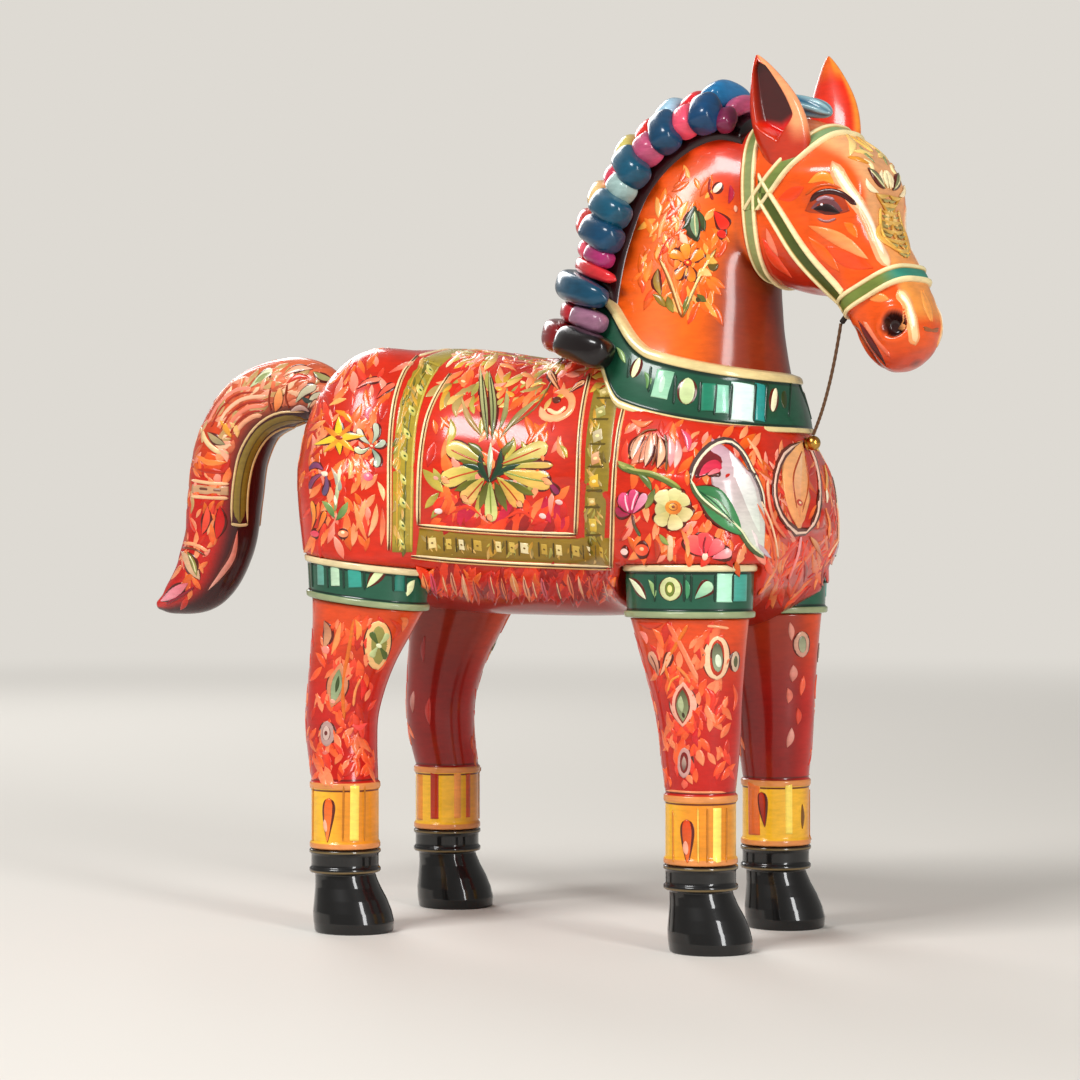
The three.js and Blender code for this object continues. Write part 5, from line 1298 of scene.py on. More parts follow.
# Palmette
saddle += strokes("""
    petal 7 1 8f8c34-dcc068 900,590 820,545 725,505; petal 7.4 1 9a9a34-e4c468 888,610 800,625 702,660;
    petal 7 1 a8a040-ecb468 895,640 845,690 800,752; petal 6 1 8fa048-dcd888 915,655 918,740 922,835;
    petal 7 1 b0a038-f0a850 945,640 1000,695 1052,768; petal 7.2 1 a89a38-ecb85c 955,612 1060,640 1185,668;
    petal 7.4 1 8f8c34-d8c070 950,590 1050,550 1168,505; petal 3.4 1 8f9c3e-dcae5c 955,600 1080,590 1190,590;
    line 0.7 2 b23a12 880,580 800,548 745,522; line 0.7 2 c0451a 870,612 790,632 728,652;
    line 0.7 2 b23a12 888,655 848,700 815,738; line 0.7 2 7a8a2e 917,670 919,740 921,800;
    line 0.7 2 b23a12 960,655 1005,705 1040,750; line 0.7 2 7a8a2e 975,618 1070,645 1160,660;
    line 0.7 2 b23a12 965,585 1050,552 1140,515; leaf 2.4 2 1d3a24 905,640 850,600 795,585;
    leaf 2.4 2 1d3a24 930,640 990,605 1050,585; leaf 3.2 2 1d3a24 870,540 880,610 915,665;
    leaf 3.2 2 1d3a24 965,520 955,600 915,665; leaf 1.9 3 c6cfae-8fa07a 920,490 915,560 912,645;
    leaf 1.2 3 f0ead0 925,520 920,560 915,600; leaf 3 1 6f7a3c-c8c088 905,480 890,330 872,165;
    leaf 3 1 5c6a34-b8b478 925,480 930,340 912,180; line 0.6 2 3a3c1c 905,460 892,330 880,190;
    line 0.6 2 3a3c1c 926,460 930,340 916,200; leaf 2.2 1 6a5a2c-a89a5c 960,470 1040,370 1135,290;
    leaf 2 1 6a6a34-b0a468 955,440 985,340 990,250; leaf 2 1 8a6a34-c8a468 885,470 820,380 790,290;
    line 0.7 1 7a5a24 1010,420 1120,330 1190,215; dot 2 1 e0902c 985,270 1020,290; dot 1.8 1 e8a83c 940,250 968,262;
    dot 2.6 1 e2622c 775,215 820,235; petal 2.4 1 e07840 830,170 800,205 800,250; dot 1.4 2 f6c890 790,222 808,230;
    dot 1.9 2 f4d4cc 672,788 708,790; dot 1.9 2 f2c8c0 1130,805 1160,815; dot 1.7 2 f0b8b0 1200,745 1232,755;
    petal 3.2 1 a82458-7a1c48 1165,650 1195,690 1215,715; dot 1.4 1 e0a08c 668,640 690,650;
    leaf 1.6 1 e23a1c 740,800 820,770 880,810; leaf 1.6 1 e23a1c 980,820 1050,790 1110,830;
    leaf 3 2 f0905c-f4b078 702,640 740,668; leaf 3 2 f0905c-f4b078 790,720 825,752;
    leaf 3 2 f0905c-f4b078 1030,745 1058,770; leaf 3 2 f0905c-f4b078 1140,645 1188,672;
    leaf 3 2 f0905c-f4b078 905,800 925,832; leaf 3.4 0.4 4c4c14-6a6a20 900,590 780,565;
    leaf 3.4 0.4 4c4c14-6a6a20 890,650 760,700; leaf 3.4 0.4 4c4c14-6a6a20 905,660 870,780;
    leaf 3.4 0.4 4c4c14-6a6a20 935,660 990,790; leaf 3.4 0.4 4c4c14-6a6a20 960,650 1110,720;
    leaf 3.4 0.4 4c4c14-6a6a20 965,590 1130,560; leaf 3.4 0.4 4c4c14-6a6a20 950,560 1020,480;
    leaf 3.4 0.4 4c4c14-6a6a20 890,560 820,490
""")
# Curled peach flower in the upper right corner, and smaller ones beside it
saddle += strokes("""
    line 2.6 1 f0b080-e08a54 1135,335 1150,375 1205,385 1262,352 1270,300 1235,268 1195,275;
    dot 2.6 2 5c2414 1190,300 1222,310; line 1.4 2 f6cf9e 1165,345 1205,362 1245,335;
    petal 3.2 1 e8955c-f2b98a 1215,262 1190,215 1170,180; petal 3.2 1 e8955c-f0b07c 1262,275 1300,240 1330,225;
    petal 2.6 1 e0743c-f0a468 1110,225 1085,200 1052,190; petal 2.6 1 e0743c-f0a468 1030,180 1000,160 960,150;
    line 0.6 2 7a3418 1222,262 1198,222 1180,190; line 0.6 2 7a3418 1262,275 1296,246 1320,232;
    leaf 1.6 1 e8c05c 1090,250 1130,232 1160,236; dot 1.3 2 f4d8a0 1050,225 1068,235
""")

# Rump and belly. Flowers and leaves behind the cloth, and upright flame strokes along the belly, read in the same
# enlargement as the cloth.

rump = strokes("""
    leaf 4.4 1 f0cc24-e8b020 258,375 256,460 262,545; leaf 4 2 f2d03a-e6a824 150,500 255,470 372,462;
    leaf 2.6 2 e2681c-f0b030 190,420 255,470 325,530; leaf 2.6 2 f0b030-d9601c 190,535 255,475 318,405;
    dot 2 3 a83410 244,466 276,474; leaf 2.2 0 e8891c 240,350 285,372 320,410;
    petal 3.6 1 9a4a72-5c2c54 190,610 160,590 128,600; petal 3.6 1 7a4a70-584a6a 200,625 205,680 190,720;
    petal 3.2 1 a04a6a-6a3a5c 190,625 150,650 128,690; petal 2.8 1 c9b8a0-8a9a8a 225,600 250,650 262,700;
    dot 1.8 2 e8d8c0 182,622 208,632; line 1.5 1 e8e4c0-7a9050 262,600 250,700 240,790;
    leaf 2.6 2 4f7a3c-86a05c 240,820 215,775 185,745; leaf 2.6 2 4a7038-86a05c 245,830 275,790 298,748;
    leaf 1.4 3 f0ecd0 246,765 240,720; petal 3.2 1 a8b49c-dcd8c0 395,500 360,470 340,430;
    petal 3.2 1 8fa088-c8ccb4 400,500 420,455 415,405; petal 3.2 1 8fa088-c0c8b0 405,510 440,500 455,480;
    petal 3.4 1 7a9080-b8c4ac 400,515 425,560 420,600; petal 3 1 90a080-d8d4a8 392,512 355,530 325,515;
    dot 2.2 2 c8402c 386,500 414,512; dot 1 3 f4d8b0 394,503 406,508; petal 2.8 1 d0506a-e88a90 385,395 380,360 400,335;
    dot 2.8 2 f08098-e8506c 365,635 405,645; dot 1.1 3 fbd0cc 378,632 390,636;
    petal 3.8 1 e86a20-f09a3c 140,870 150,810 140,745; petal 3.4 1 e0501c-f2842c 165,880 185,830 200,790;
    dot 3.4 2 f2a070-e8784c 255,885 300,890; dot 1.4 3 fbd9b0 268,880 284,884; dot 3 1 e0485c 135,885 172,890;
    leaf 2 1 f0a060-e26a30 322,745 345,830 380,925; leaf 2.2 1 f2b078-e07038 372,735 350,820 330,880;
    leaf 2 1 e88a50-f0b888 422,755 412,830 385,900; leaf 1.8 1 c83c20-f09060 445,770 448,850 440,940;
    leaf 1.7 1 f0c088 425,660 445,700 452,745; leaf 1.8 1 e8803c 330,590 345,640 338,690;
    leaf 1.5 1 f0b870 300,560 310,600 300,650; leaf 2.4 1 e86a34-f2a05c 130,440 165,415 200,395;
    leaf 2.2 1 f07a3c 120,520 128,480 145,450; leaf 2 1 ffb060 215,330 250,310 290,300;
    petal 3 1 e0341c-f06a4c 420,300 460,260 500,235; petal 3 1 d82a18-f08a6a 330,260 380,225 440,215;
    petal 2.6 1 e8402c-f0a080 470,190 530,160 580,140
""")
for n, (x, y, tall, wide, tint) in enumerate((
    (655, 1090, 60, 3.0, "#e0506a #c03048"), (705, 1092, 55, 2.2, "#ec6a3c #d84a24"),
    (745, 1085, 60, 2.4, "#f2a888 #e07a50"), (795, 1100, 70, 2.6, "#f0b08c #e89060"),
    (842, 1115, 70, 2.2, "#e87040 #c8301c"), (915, 1095, 65, 3.6, "#e83424 #c01c10"),
    (965, 1110, 60, 1.8, "#f09058 #e05a2c"), (1012, 1090, 60, 4.0, "#f0a060 #e07038"),
    (1062, 1105, 65, 2.4, "#f2b894 #e07c50"), (1100, 1115, 60, 2.0, "#e05a3c #b82014"),
    (1140, 1110, 60, 2.4, "#e8707c #c03a48"), (1205, 1120, 60, 1.8, "#b04a40 #7a1c14"),
    (1255, 1095, 65, 2.6, "#f0946c #e05a34"), (1300, 1100, 60, 1.8, "#f0b090 #e07048"),
    (1350, 1105, 65, 3.2, "#e85a34 #c8281a"), (1410, 1110, 60, 2.8, "#c82418 #a01410"), (620, 1085, 50, 2.2, "#e88a50"),
)):
    vein = "#f4c898" if n % 2 else "#8a1c10"
    rump += [("leaf", wide, 1, tint, (x, y - tall * 0.55), (x + 8, y + tall * 0.2), (x + 26, y + tall * 1.2)),
             ("line", 0.45, 2, vein, (x + 2, y - tall * 0.35), (x + 9, y + tall * 0.2), (x + 20, y + tall * 0.8))]

# Shoulder and chest. A fan, a vine and a large leaf with a red heart, and a paisley on the chest, read in a 4.612 times
# enlargement from pixel (560, 300).

chest = strokes("""
    leaf 6 0 e08060-e89a78 330,760 400,690 445,615; leaf 4 1 f0b898-e88a64 335,740 350,670 395,620;
    leaf 3.6 1 f2c0a0-e07a54 395,770 412,700 425,610; leaf 3.6 1 f0b48c-e0906c 450,780 470,720 462,630;
    line 0.6 2 7a4a24 322,735 345,660 400,605 450,600; line 0.6 2 8a4a28 365,755 385,680 420,615;
    line 0.6 2 8a4a28 425,770 445,700 448,620; leaf 2.6 1 f2b0a8-e88a90 505,630 515,700 508,775;
    leaf 2.4 1 c86a6c-f0c8b8 540,640 545,710 530,780; line 0.6 2 6a5a3c 485,620 495,700 490,790;
    line 1.7 1 5a6a2c 268,765 340,792 420,805 500,840 560,880;
    line 0.9 2 b8b468-8a9440 272,758 345,785 425,798 505,832 560,870; leaf 2.2 2 a8ac5c-6a7a34 270,745 300,770 345,775;
    leaf 2 2 5c7034 360,800 400,835 425,880; leaf 2.4 1 4c5c2a-8a8a44 440,870 420,915 395,965
""")
leaf_top = [(600, 832), (618, 770), (660, 705), (715, 660), (775, 648), (830, 690), (880, 780), (925, 880), (935, 960)]
leaf_foot = [(600, 832), (640, 905), (705, 965), (775, 1015), (835, 1075), (870, 1130), (935, 1190)]
# The large leaf's pale pinkish grey and its near-white core are partly its paint and partly a painted reflection, an
# upright streak of light down the shoulder.
chest += strokes("""
    leaf 14 0 bc8c9c-d4dccc 700,640 825,880 935,1180; leaf 6.5 0.6 f4eaec-d4dccc 780,700 860,880 920,1080
""") + [
    ("line", 2.2, 1, "#4c3a38", *leaf_top),
    ("line", 1.0, 2, "#e6d8b8", *shifted(leaf_top, 5, 6)),
    ("line", 1.9, 1, "#4c5a34", *leaf_foot),
    ("line", 0.9, 2, "#dfe0b4", *shifted(leaf_foot, 2, -7)),
] + strokes("""
    leaf 9 1 2e6b3c-3f8a50 615,862 710,925 835,1085; leaf 3.2 2 5c9a64-86b884 660,895 720,940 790,1020;
    line 0.7 3 174a28 640,880 710,935 800,1030; petal 8.4 1 4a1c20-7a2024 625,820 680,760 740,730;
    petal 6.8 2 d83a54-c42440 642,815 690,775 742,762; petal 3.4 3 f08a8c-e85a6c 680,812 705,800 735,790;
    leaf 1.6 2 c8b0b8 905,1120 940,1160 968,1190; leaf 1.5 2 e8d8d4 880,1060 900,1100 905,1140;
    line 1 1 e87a50-d04a2c 905,940 945,1020 975,1110 985,1200; line 0.7 2 f4c8a0 925,930 965,1020 990,1110 1000,1190;
    petal 6.4 1 c8c078-e0d49c 520,960 480,920 462,880; petal 6 1 b8b468-dccf94 520,960 530,900 528,868;
    petal 6 1 a8a458-d8c88c 525,965 565,925 590,905; petal 6 1 a8984c-e0cc94 525,970 572,985 600,1010;
    petal 6.2 1 c0a858-e8d8a4 520,970 530,1020 540,1062; petal 6 1 b0a054-dccc90 515,970 475,1005 455,1040;
    petal 5.4 1 9a9a54-d0c488 515,965 470,965 440,965; dot 6 2 e08a30-c8641c 488,950 562,965;
    dot 3 3 f0b850-b8501c 505,950 545,960; dot 1.2 4 7a2c10 518,952 532,957;
    line 1.7 1 e8c8a0-d8a070 508,1085 510,1140 508,1205; leaf 1.6 2 8a9a4c 505,1130 480,1110 462,1080;
    petal 5.4 1 c02458-e0507c 330,985 300,940 292,890; petal 5.2 1 b81c4c-d84a74 335,985 335,930 350,875;
    petal 4.4 1 d04a78-e8a0b4 340,985 372,940 400,895; petal 4 1 a81844 325,990 285,985 262,960;
    line 0.9 2 f0b8c4 335,970 345,925 362,885; line 0.8 2 f0c0c8 320,975 308,935 305,900;
    line 1 1 6a2c34-3c5a30 335,990 345,1040 372,1090; dot 4.6 1 f0643c-d83a20 350,1150 412,1156;
    dot 1.6 2 f8b080 372,1146 392,1150; dot 3 1 f4c4b8 285,1160 318,1162;
    petal 6.2 1 e83040-f06a60 660,1180 620,1140 600,1085; petal 6.6 1 e02438-f05050 668,1180 665,1130 680,1075;
    petal 5.8 1 d82038-f07878 680,1185 715,1145 745,1110; petal 4.4 1 e85a6c-f4a8a4 700,1190 750,1175 790,1160;
    line 0.8 2 8a1420 664,1170 662,1130 672,1090; dot 2.4 2 f8c8b0 655,1180 682,1184;
    leaf 2 1 e07038-f0a868 560,1060 590,1120 590,1190; leaf 1.8 1 b0341c 440,1100 452,1150 448,1200;
    leaf 2 1 f07a4c 330,555 380,575 430,560; leaf 2 1 e8506c 560,600 590,640 592,700;
    leaf 1.6 1 f0a070 860,640 900,690 930,760
""")
paisley = [(1110, 655), (1040, 700), (995, 800), (990, 910), (1035, 1020), (1105, 1075), (1165, 1035), (1195, 930),
           (1190, 800), (1160, 700), (1128, 655)]
breast = [("line", 2.8, 1, "#5c2418", *paisley), ("line", 1.3, 2, "#f0c8b0", *shifted(paisley, -3, 2))] + strokes("""
    leaf 16.5 0 fab878-f29a5c 1112,650 1092,860 1104,1062; leaf 7 0.5 ffcc98-f08c50 1110,700 1090,850 1100,1010;
    line 0.8 2 a8441c 1108,700 1070,820 1085,960; line 0.8 2 b8501c 1125,720 1140,850 1110,980;
    dot 2.6 2 c8402c 1085,930 1112,940; dot 1.1 3 f8dcae 1093,932 1104,937;
    line 1.5 1 f0a0a0-e86a5c 1108,1090 1095,1170 1050,1290; line 1.2 1 f0b088-e0643c 955,830 960,920 990,1030 1040,1100;
    leaf 2.6 1 c8a030-e8c860 1125,640 1160,655 1190,700; leaf 2 1 f0b060 1215,760 1228,820 1222,880;
    leaf 1.6 2 f8ecc8 1222,870 1228,905 1226,935; leaf 2.2 1 f08a4c 1220,960 1240,1030 1235,1100;
    leaf 2 1 e8a060-c84a24 1150,1090 1180,1130 1200,1180
""")
# The strewn leaves' colours, and their scatterings on the trunk
warm = ("#e8501c #f07a34", "#d8281a #e84a2c", "#f08a4c #e0602c", "#b81c10 #d03018", "#f2a070 #e87c48",
        "#e86a50 #f0a088", "#c8400f #e06a20")
mossy = ("#c8b048 #9a8c34", "#8f8a3c #b8a850", "#d8a838 #b07c20", "#b89858 #8c7838", "#e0b868 #c08c3c")
flames = ("#d8180c #f0441c", "#b00c08 #d8281a", "#f0561c #e8300c", "#8a0c08 #b01810", "#e03a10 #f4742c")
dusky, edging = mossy + ("#5c5a1c #7a7228",), mossy + ("#5c4a14 #7a6420",)
crimson = flames + ("#d8143c #b00c30",)
saddle_leaves = strewn(
    (1, [(960, 190), (960, 330)], 300, 60, warm + mossy, 2.6, 95, 60),
    (2, [(950, 400), (950, 830)], 290, 70, warm + mossy[:2], 2.6, 100, 90),
    (3, [(640, 150), (560, 320), (528, 500), (520, 760), (515, 950)], 24, 60, dusky, 1.5, 60, 90, 0.2),
    (4, [(1410, 260), (1385, 450), (1372, 700), (1370, 950)], 30, 50, edging, 1.5, 55, 90, 0.2),
    (5, [(610, 930), (950, 955), (1430, 975)], 24, 60, edging, 1.3, 40, 90, 0.2),
    (19, [(740, 100), (1000, 100), (1300, 140), (1480, 230)], 50, 110, warm + mossy, 2.6, 80, 30),
    (20, [(680, 800), (1240, 830)], 60, 44, crimson, 3.4, 90, 60),
)
rump_leaves = strewn(
    (6, [(420, 160), (300, 300), (260, 600), (270, 950)], 140, 120, warm, 2.5, 95, 80),
    (21, [(420, 110), (250, 200), (150, 330), (110, 600), (100, 850)], 60, 70, warm, 2.6, 80, 70),
    (7, [(610, 1100), (1440, 1120)], 34, 130, flames, 3.2, 115, 92, 0.0),
)
chest_leaves = strewn(
    (8, [(300, 700), (900, 700)], 130, 60, warm, 2.4, 90, 70),
    (9, [(300, 1020), (950, 1100)], 160, 90, warm, 2.4, 90, 75),
    (10, [(1000, 720), (990, 1200)], 90, 40, warm, 2.2, 120, 110),
)
breast_leaves = strewn(
    (11, [(1100, 1120), (1060, 1400)], 150, 60, flames + warm[:3], 3.0, 140, 75, -0.3),
    (12, [(1100, 700), (1100, 1050)], 120, 24, warm, 2.0, 90, 90),
)
rear_leaves = strewn((22, [(-17, 162), (-17, 92)], 16, 110, warm, 2.4, 6.4, 80))
spine_leaves = strewn(
    (25, [(-84, -10), (-52, -10)], 12, 60, warm, 2.4, 6.4, 20),
    (26, [(-38, -7), (14, -7)], 9, 60, warm + mossy, 2.4, 6.4, 20),
)
# The left border goes on over the spine, from the pixel where it reaches the trunk's outline.
border_pixel = (434.0, 361.0)
border_x, border_y = at(trunk_form, seen(trunk_form, np.array([[border_pixel]])))[0, 0, :2]
spine_border = [("bar", 6.6, 0, "#a08a28", (border_x, border_y - 2), (border_x, 0.5))]
spine_border += [("line", 1.3, 1, cream, (border_x + off, border_y - 1), (border_x + off, 0.5)) for off in (-4.4, 4.4)]
for name, drawings, options in (
    ("spine_painting", [(spine_border, from_top)], {}),
    ("saddle_painting", [(saddle, saddle_view)], {}),
    ("rump_painting", [(rump, saddle_view)], {}),
    ("chest_painting", [(chest, chest_view)], {"lift": 0.25}),
    ("breast_painting", [(breast, chest_view)], {"lift": 0.25, "sides": None}),
    ("saddle_leaves", [(saddle_leaves, saddle_view)], {"every": 2}),
    ("rump_leaves", [(rump_leaves, saddle_view), (rear_leaves, from_rear), (spine_leaves, from_top)], {"every": 2}),
    ("chest_leaves", [(chest_leaves, chest_view)], {"every": 2, "alone": (breast_leaves, chest_view)}),
):
    laid(name, trunk_form, drawings, "torso", "red_lacquer", **options)

# Neck. A green leaf, red buds and a pair of vines round an orange flower, read in a 5.405 times enlargement from
# pixel (540, 150).

neck_strokes = strokes("""
    leaf 6.4 1 2c3418 835,300 828,400 850,498; leaf 4.2 2 5a7a4c-86a47c 838,330 835,400 846,474;
    line 0.6 3 dcd29a 838,335 838,400 844,465; leaf 2.2 2 2c3a1c 765,430 800,400 822,340;
    leaf 2 2 3c4a24 890,440 880,390 860,330; dot 3 2 f4c0a8-fbe0d0 938,230 985,180;
    line 1 1 8a1c14 920,150 915,220 935,270; leaf 2 1 b01838 1030,190 1035,240 1020,290;
    petal 5.2 1 d81c10-e8301c 940,330 975,375 1010,425; dot 3.6 1 e02818 960,440 1005,470;
    dot 1.3 2 f4b090 1055,300 1062,335; line 1.2 1 8a4a14 645,580 690,690 765,905;
    line 0.8 2 ecc080 650,590 698,690 765,890; line 1.2 1 8a5a14 955,530 880,650 770,905;
    line 0.8 2 ecc878 948,545 875,660 775,880; leaf 3.2 2 7a5a18-a8822c 640,640 630,710 655,790;
    leaf 2.6 2 6a5a1c-98842c 690,790 700,830 720,880; leaf 2.4 2 8a6a1c 610,780 640,800 680,850;
    leaf 2.6 2 c98a2c-e0b050 900,560 930,600 960,610; leaf 2.4 2 5c4a18 905,620 935,635 965,620;
    leaf 2.8 2 d8a04c-e8c07c 850,690 880,660 930,680; leaf 2.2 2 5c5a20 850,780 875,805 900,820;
    leaf 2.2 2 6a6a24 800,790 790,840 780,880; dot 2 2 4a3a14 845,800 868,815;
    petal 4.6 1 d86408-f08c20 790,610 745,570 700,560; petal 4.8 1 e06c0c-f49a30 795,605 790,550 780,505;
    petal 4.6 1 d86408-f08c20 800,610 845,580 880,545; petal 4.2 1 d05a08-e88018 795,620 760,660 735,700;
    petal 4.2 1 d05a08-e88018 805,620 820,670 815,715; dot 3 2 c8300c 780,600 818,620; dot 1.2 3 f8c860 792,606 806,612;
    leaf 2.4 1 f0c0a0 760,440 775,480 800,510; leaf 1.8 1 f0a060 690,330 660,400 640,480;
    leaf 1.6 1 e87830 720,640 730,720 755,800; line 0.7 1 c8300c 700,470 660,540 640,600;
    line 0.7 1 f4b070 735,740 750,800 770,850
""")
amber = ("#f08a30 #e86a18", "#e85c10 #f07a24", "#f0a848 #e88a30", "#c8480c #e06010", "#d83a10 #e85818",
         "#f2b060 #e89040")
neck_leaves = strewn(
    (13, [(880, 180), (700, 420), (620, 850)], 130, 60, amber, 2.4, 100, 70),
    (14, [(900, 450), (850, 900)], 110, 40, amber, 2.2, 110, 100),
)
neck_form = form(neck_grid)
for name, drawn, every in (("neck_painting", neck_strokes, 1), ("neck_leaves", neck_leaves, 2)):
    laid(name, neck_form, [(drawn, neck_view)], "neck", "orange_lacquer", every=every)

# Collar and bands. Mint, cream and teal tiles between dark strokes. The collar and the front band are read in the
# chest's enlargement and the rear band in a 3.2 times one from pixel (230, 300).

# The widest, near-white bar lies on the upright streak of reflected light across the collar: partly a pale tile and
# partly a painted reflection.
tiles = strokes("""
    dot 3.2 1 e2e8b0 368,268 335,358; bar 5.4 0 7fb894-9accaa 488,325 455,452; dot 2.4 1 b8dcc0 478,350 462,430;
    dot 5.6 1 ccd8a0-b8cc90 592,360 580,482; bar 4.4 0 8accb0 746,392 746,522; bar 5 0 1c7a5c 690,385 688,512;
    bar 7.4 0 d4f2e6 845,384 842,558; bar 3.6 0 1f8a84 925,388 922,558; dot 3.2 1 e8e4bc 994,408 978,515;
    dot 2.6 1 2c3a18 1035,420 1032,500; leaf 1.8 1 8fae6c 262,218 282,250 302,292;
    leaf 2 1 5f8a4c 390,330 410,370 400,410
""")
for x, top, low in ((318, 270, 360), (414, 305, 425), (528, 345, 480), (645, 375, 515), (716, 388, 530),
                    (788, 385, 555), (898, 385, 560), (952, 385, 560), (1060, 385, 540)):
    tiles += [("line", 0.9, 1, "#0a3020", (x + 6, top), (x - 6, low))]
band_tiles = strokes("""
    leaf 3.4 1 e2e8c4 322,1282 360,1328 398,1380; dot 7 1 ccd094 508,1278 508,1388; dot 4.4 2 6a7a2c 508,1298 508,1368;
    dot 2.2 3 e8d888 508,1314 508,1350; petal 5 1 7ab894-b8dcb4 622,1378 700,1306; bar 5.2 0 aee6c6 764,1262 760,1394;
    bar 5.6 0 3f9c8c 836,1266 832,1390; leaf 1.8 1 8fae6c 410,1290 430,1330 440,1375;
    leaf 1.8 1 3f8a5c 580,1290 590,1330 585,1380
""")
for x in (440, 575, 606, 716, 798):
    band_tiles += [("line", 0.8, 1, "#0a3020", (x, 1264), (x - 3, 1392))]
rear_tiles = strokes("""
    bar 3.4 0 5c9c8c 288,836 290,912; bar 3.4 0 bcdcba 334,838 337,915; bar 4.4 0 2f9484 396,843 400,920;
    leaf 3.6 1 ccdaa4 508,842 470,882 438,920; leaf 2.8 1 dce4ae 590,896 576,920 566,948;
    bar 3.4 0 1f7060 546,868 542,932
""")
for x in (262, 311, 362, 428, 520, 560):
    rear_tiles += [("line", 0.8, 1, "#0a3020", (x, 834 + (x - 262) * 0.05), (x + 3, 918 + (x - 262) * 0.06))]
share, angle = lattice(np.linspace(0, 1, 40), full_turn(240))
collar_form = form(collar_point(share, angle, 0.1))
laid("collar_painting", collar_form, [(tiles, chest_view)], "neck_collar", "green_lacquer")
for end, drawn, view in (("front", band_tiles, chest_view), ("rear", rear_tiles, rear_band_view)):
    band_form = form(band_point(end, share, angle))
    laid(f"band_painting_{end}", band_form, [(drawn, view)], f"leg_band_{end}", "green_lacquer", True)

# Legs. Ringed florets, almonds and crossed stems above, a drop and bars on the cuffs. The front leg is read in a 6.535
# times enlargement from pixel (600, 590), the rear leg from (295, 590).

front_leg = strokes("""
    line 1.6 1 e86038-f08a60 440,215 530,370 640,590; line 1.2 1 d8681c 575,225 490,370 430,500 455,600;
    line 1 1 e07a3c 500,500 560,560 590,610; petal 5.4 1 a86a54-d89a7c 385,560 360,480 325,405;
    petal 3.2 1 e8a078 395,560 435,480 462,405; line 0.7 2 6a2c1c 380,545 362,480 335,425;
    leaf 2.4 1 f08070 262,270 295,310 308,352; leaf 2.4 1 f0642c 345,250 395,320 415,385;
    leaf 2.2 1 c83414 250,215 330,235 410,220; dot 8.4 1 f4c49c 768,300 760,588; dot 6.4 2 b8300f 768,325 762,562;
    dot 5.2 3 4c4c2c-a0aa88 762,345 768,535; dot 2.8 4 dce4c8 765,420 776,505; dot 4.4 1 d0b094 884,400 880,535;
    dot 2.4 2 5a5a3c 884,430 882,505; line 0.9 1 f0a070 700,235 770,240 840,250;
    leaf 9 1 e8a48c 548,600 540,745 540,895;
    leaf 7 2 8a2414 545,628 540,745 542,872; leaf 5.8 3 4c5030-8f9468 542,650 540,745 545,860;
    leaf 2.8 4 a8b084 532,690 530,740 540,800; dot 1.4 4 3c2c18 545,800 552,835;
    line 0.7 2 e8903c 445,660 470,590 520,560; dot 5.4 1 c49088 556,1030 546,1228; dot 3.6 2 7a1410 553,1058 550,1196;
    leaf 2.2 3 c0a090-5c4038 552,1085 552,1130 550,1182; leaf 2.2 1 e05a44 548,1240 552,1270 550,1300;
    leaf 2.2 1 d8301c 700,640 740,700 720,780; leaf 2 1 c81c20 640,900 620,960 640,1030;
    leaf 1.8 1 e0502c 870,620 890,700 870,790; line 0.7 1 e89060 430,1310 600,1322 820,1322;
    petal 4.6 1 e0641c-c83c10 572,1800 570,1640 566,1500; dot 2.2 2 f4a488 560,1640 566,1730;
    bar 2.8 0 ffe468 768,1425 766,1790; line 0.6 1 b87014 700,1425 700,1795; line 0.6 1 b87014 826,1425 824,1795;
    line 0.8 1 c87a1c 476,1440 480,1800; line 0.6 1 e8c04c 640,1425 642,1795
""")
rear_leg = strokes("""
    dot 8.8 1 ecb878 546,200 540,520; dot 6.8 2 8f8a44 548,232 545,484; petal 2.8 3 4a5c24 545,358 512,300 505,270;
    petal 2.8 3 b8c488 548,358 590,310 600,280; petal 2.8 3 4a5c24 550,365 580,420 588,450;
    petal 2.8 3 b8c488 543,365 510,410 505,440; dot 1.8 4 e8ecc0 532,350 560,372;
    leaf 4.4 1 a4664a-cc9068 192,200 216,280 192,380; dot 2.8 2 f08474 180,378 226,402;
    leaf 2.2 1 ec8c4c 300,210 275,320 238,425; leaf 2.2 1 f08a3c 395,190 420,250 405,330;
    leaf 7 1 cc8058 302,475 275,625 238,768; leaf 5 2 74845a-98a47c 292,515 270,640 245,745;
    leaf 1.8 3 34441c 288,560 280,610 268,670; dot 1.8 3 f49a84 236,715 262,738;
    line 1.3 1 d8681c 385,190 350,400 312,620 322,850; line 0.9 1 e88a4c 440,560 400,640 380,760;
    dot 5.6 1 b49088 212,856 205,1022; dot 3.8 2 ccaca0 208,888 204,984; dot 1.6 3 6a2c28 206,920 204,950;
    dot 1.6 1 e07060 182,1062 214,1064; leaf 2 1 e0241c 420,560 450,640 430,720;
    leaf 2 1 f04a44 370,880 420,900 470,870;
    leaf 2 1 c83414 620,190 680,250 640,330; leaf 2.4 1 e0703c 690,180 720,200 700,270;
    petal 4.6 1 f07c34-e05c14 212,1650 214,1530 222,1360; dot 1.8 2 f8b090 196,1500 206,1580;
    bar 3 0 ffdc5c 392,1280 388,1640; line 0.6 1 b87014 318,1280 312,1640; line 0.6 1 b87014 456,1280 452,1640;
    line 0.8 1 c87a1c 120,1290 118,1640
""")
rosy = ("#e8401c #f0602c", "#d8281a #e84a2c", "#f0642c #e0401c", "#b81c10 #d03018", "#e87848 #e05830",
        "#f08a5c #e87048")
front_leaves = scattered(15, [(560, 240), (590, 700), (640, 1280)], 230, 130, rosy, 2.2, 110, 85)
rear_leaves = scattered(16, [(430, 180), (330, 600), (290, 900), (320, 1230)], 210, 130, rosy, 2.2, 110, 85)
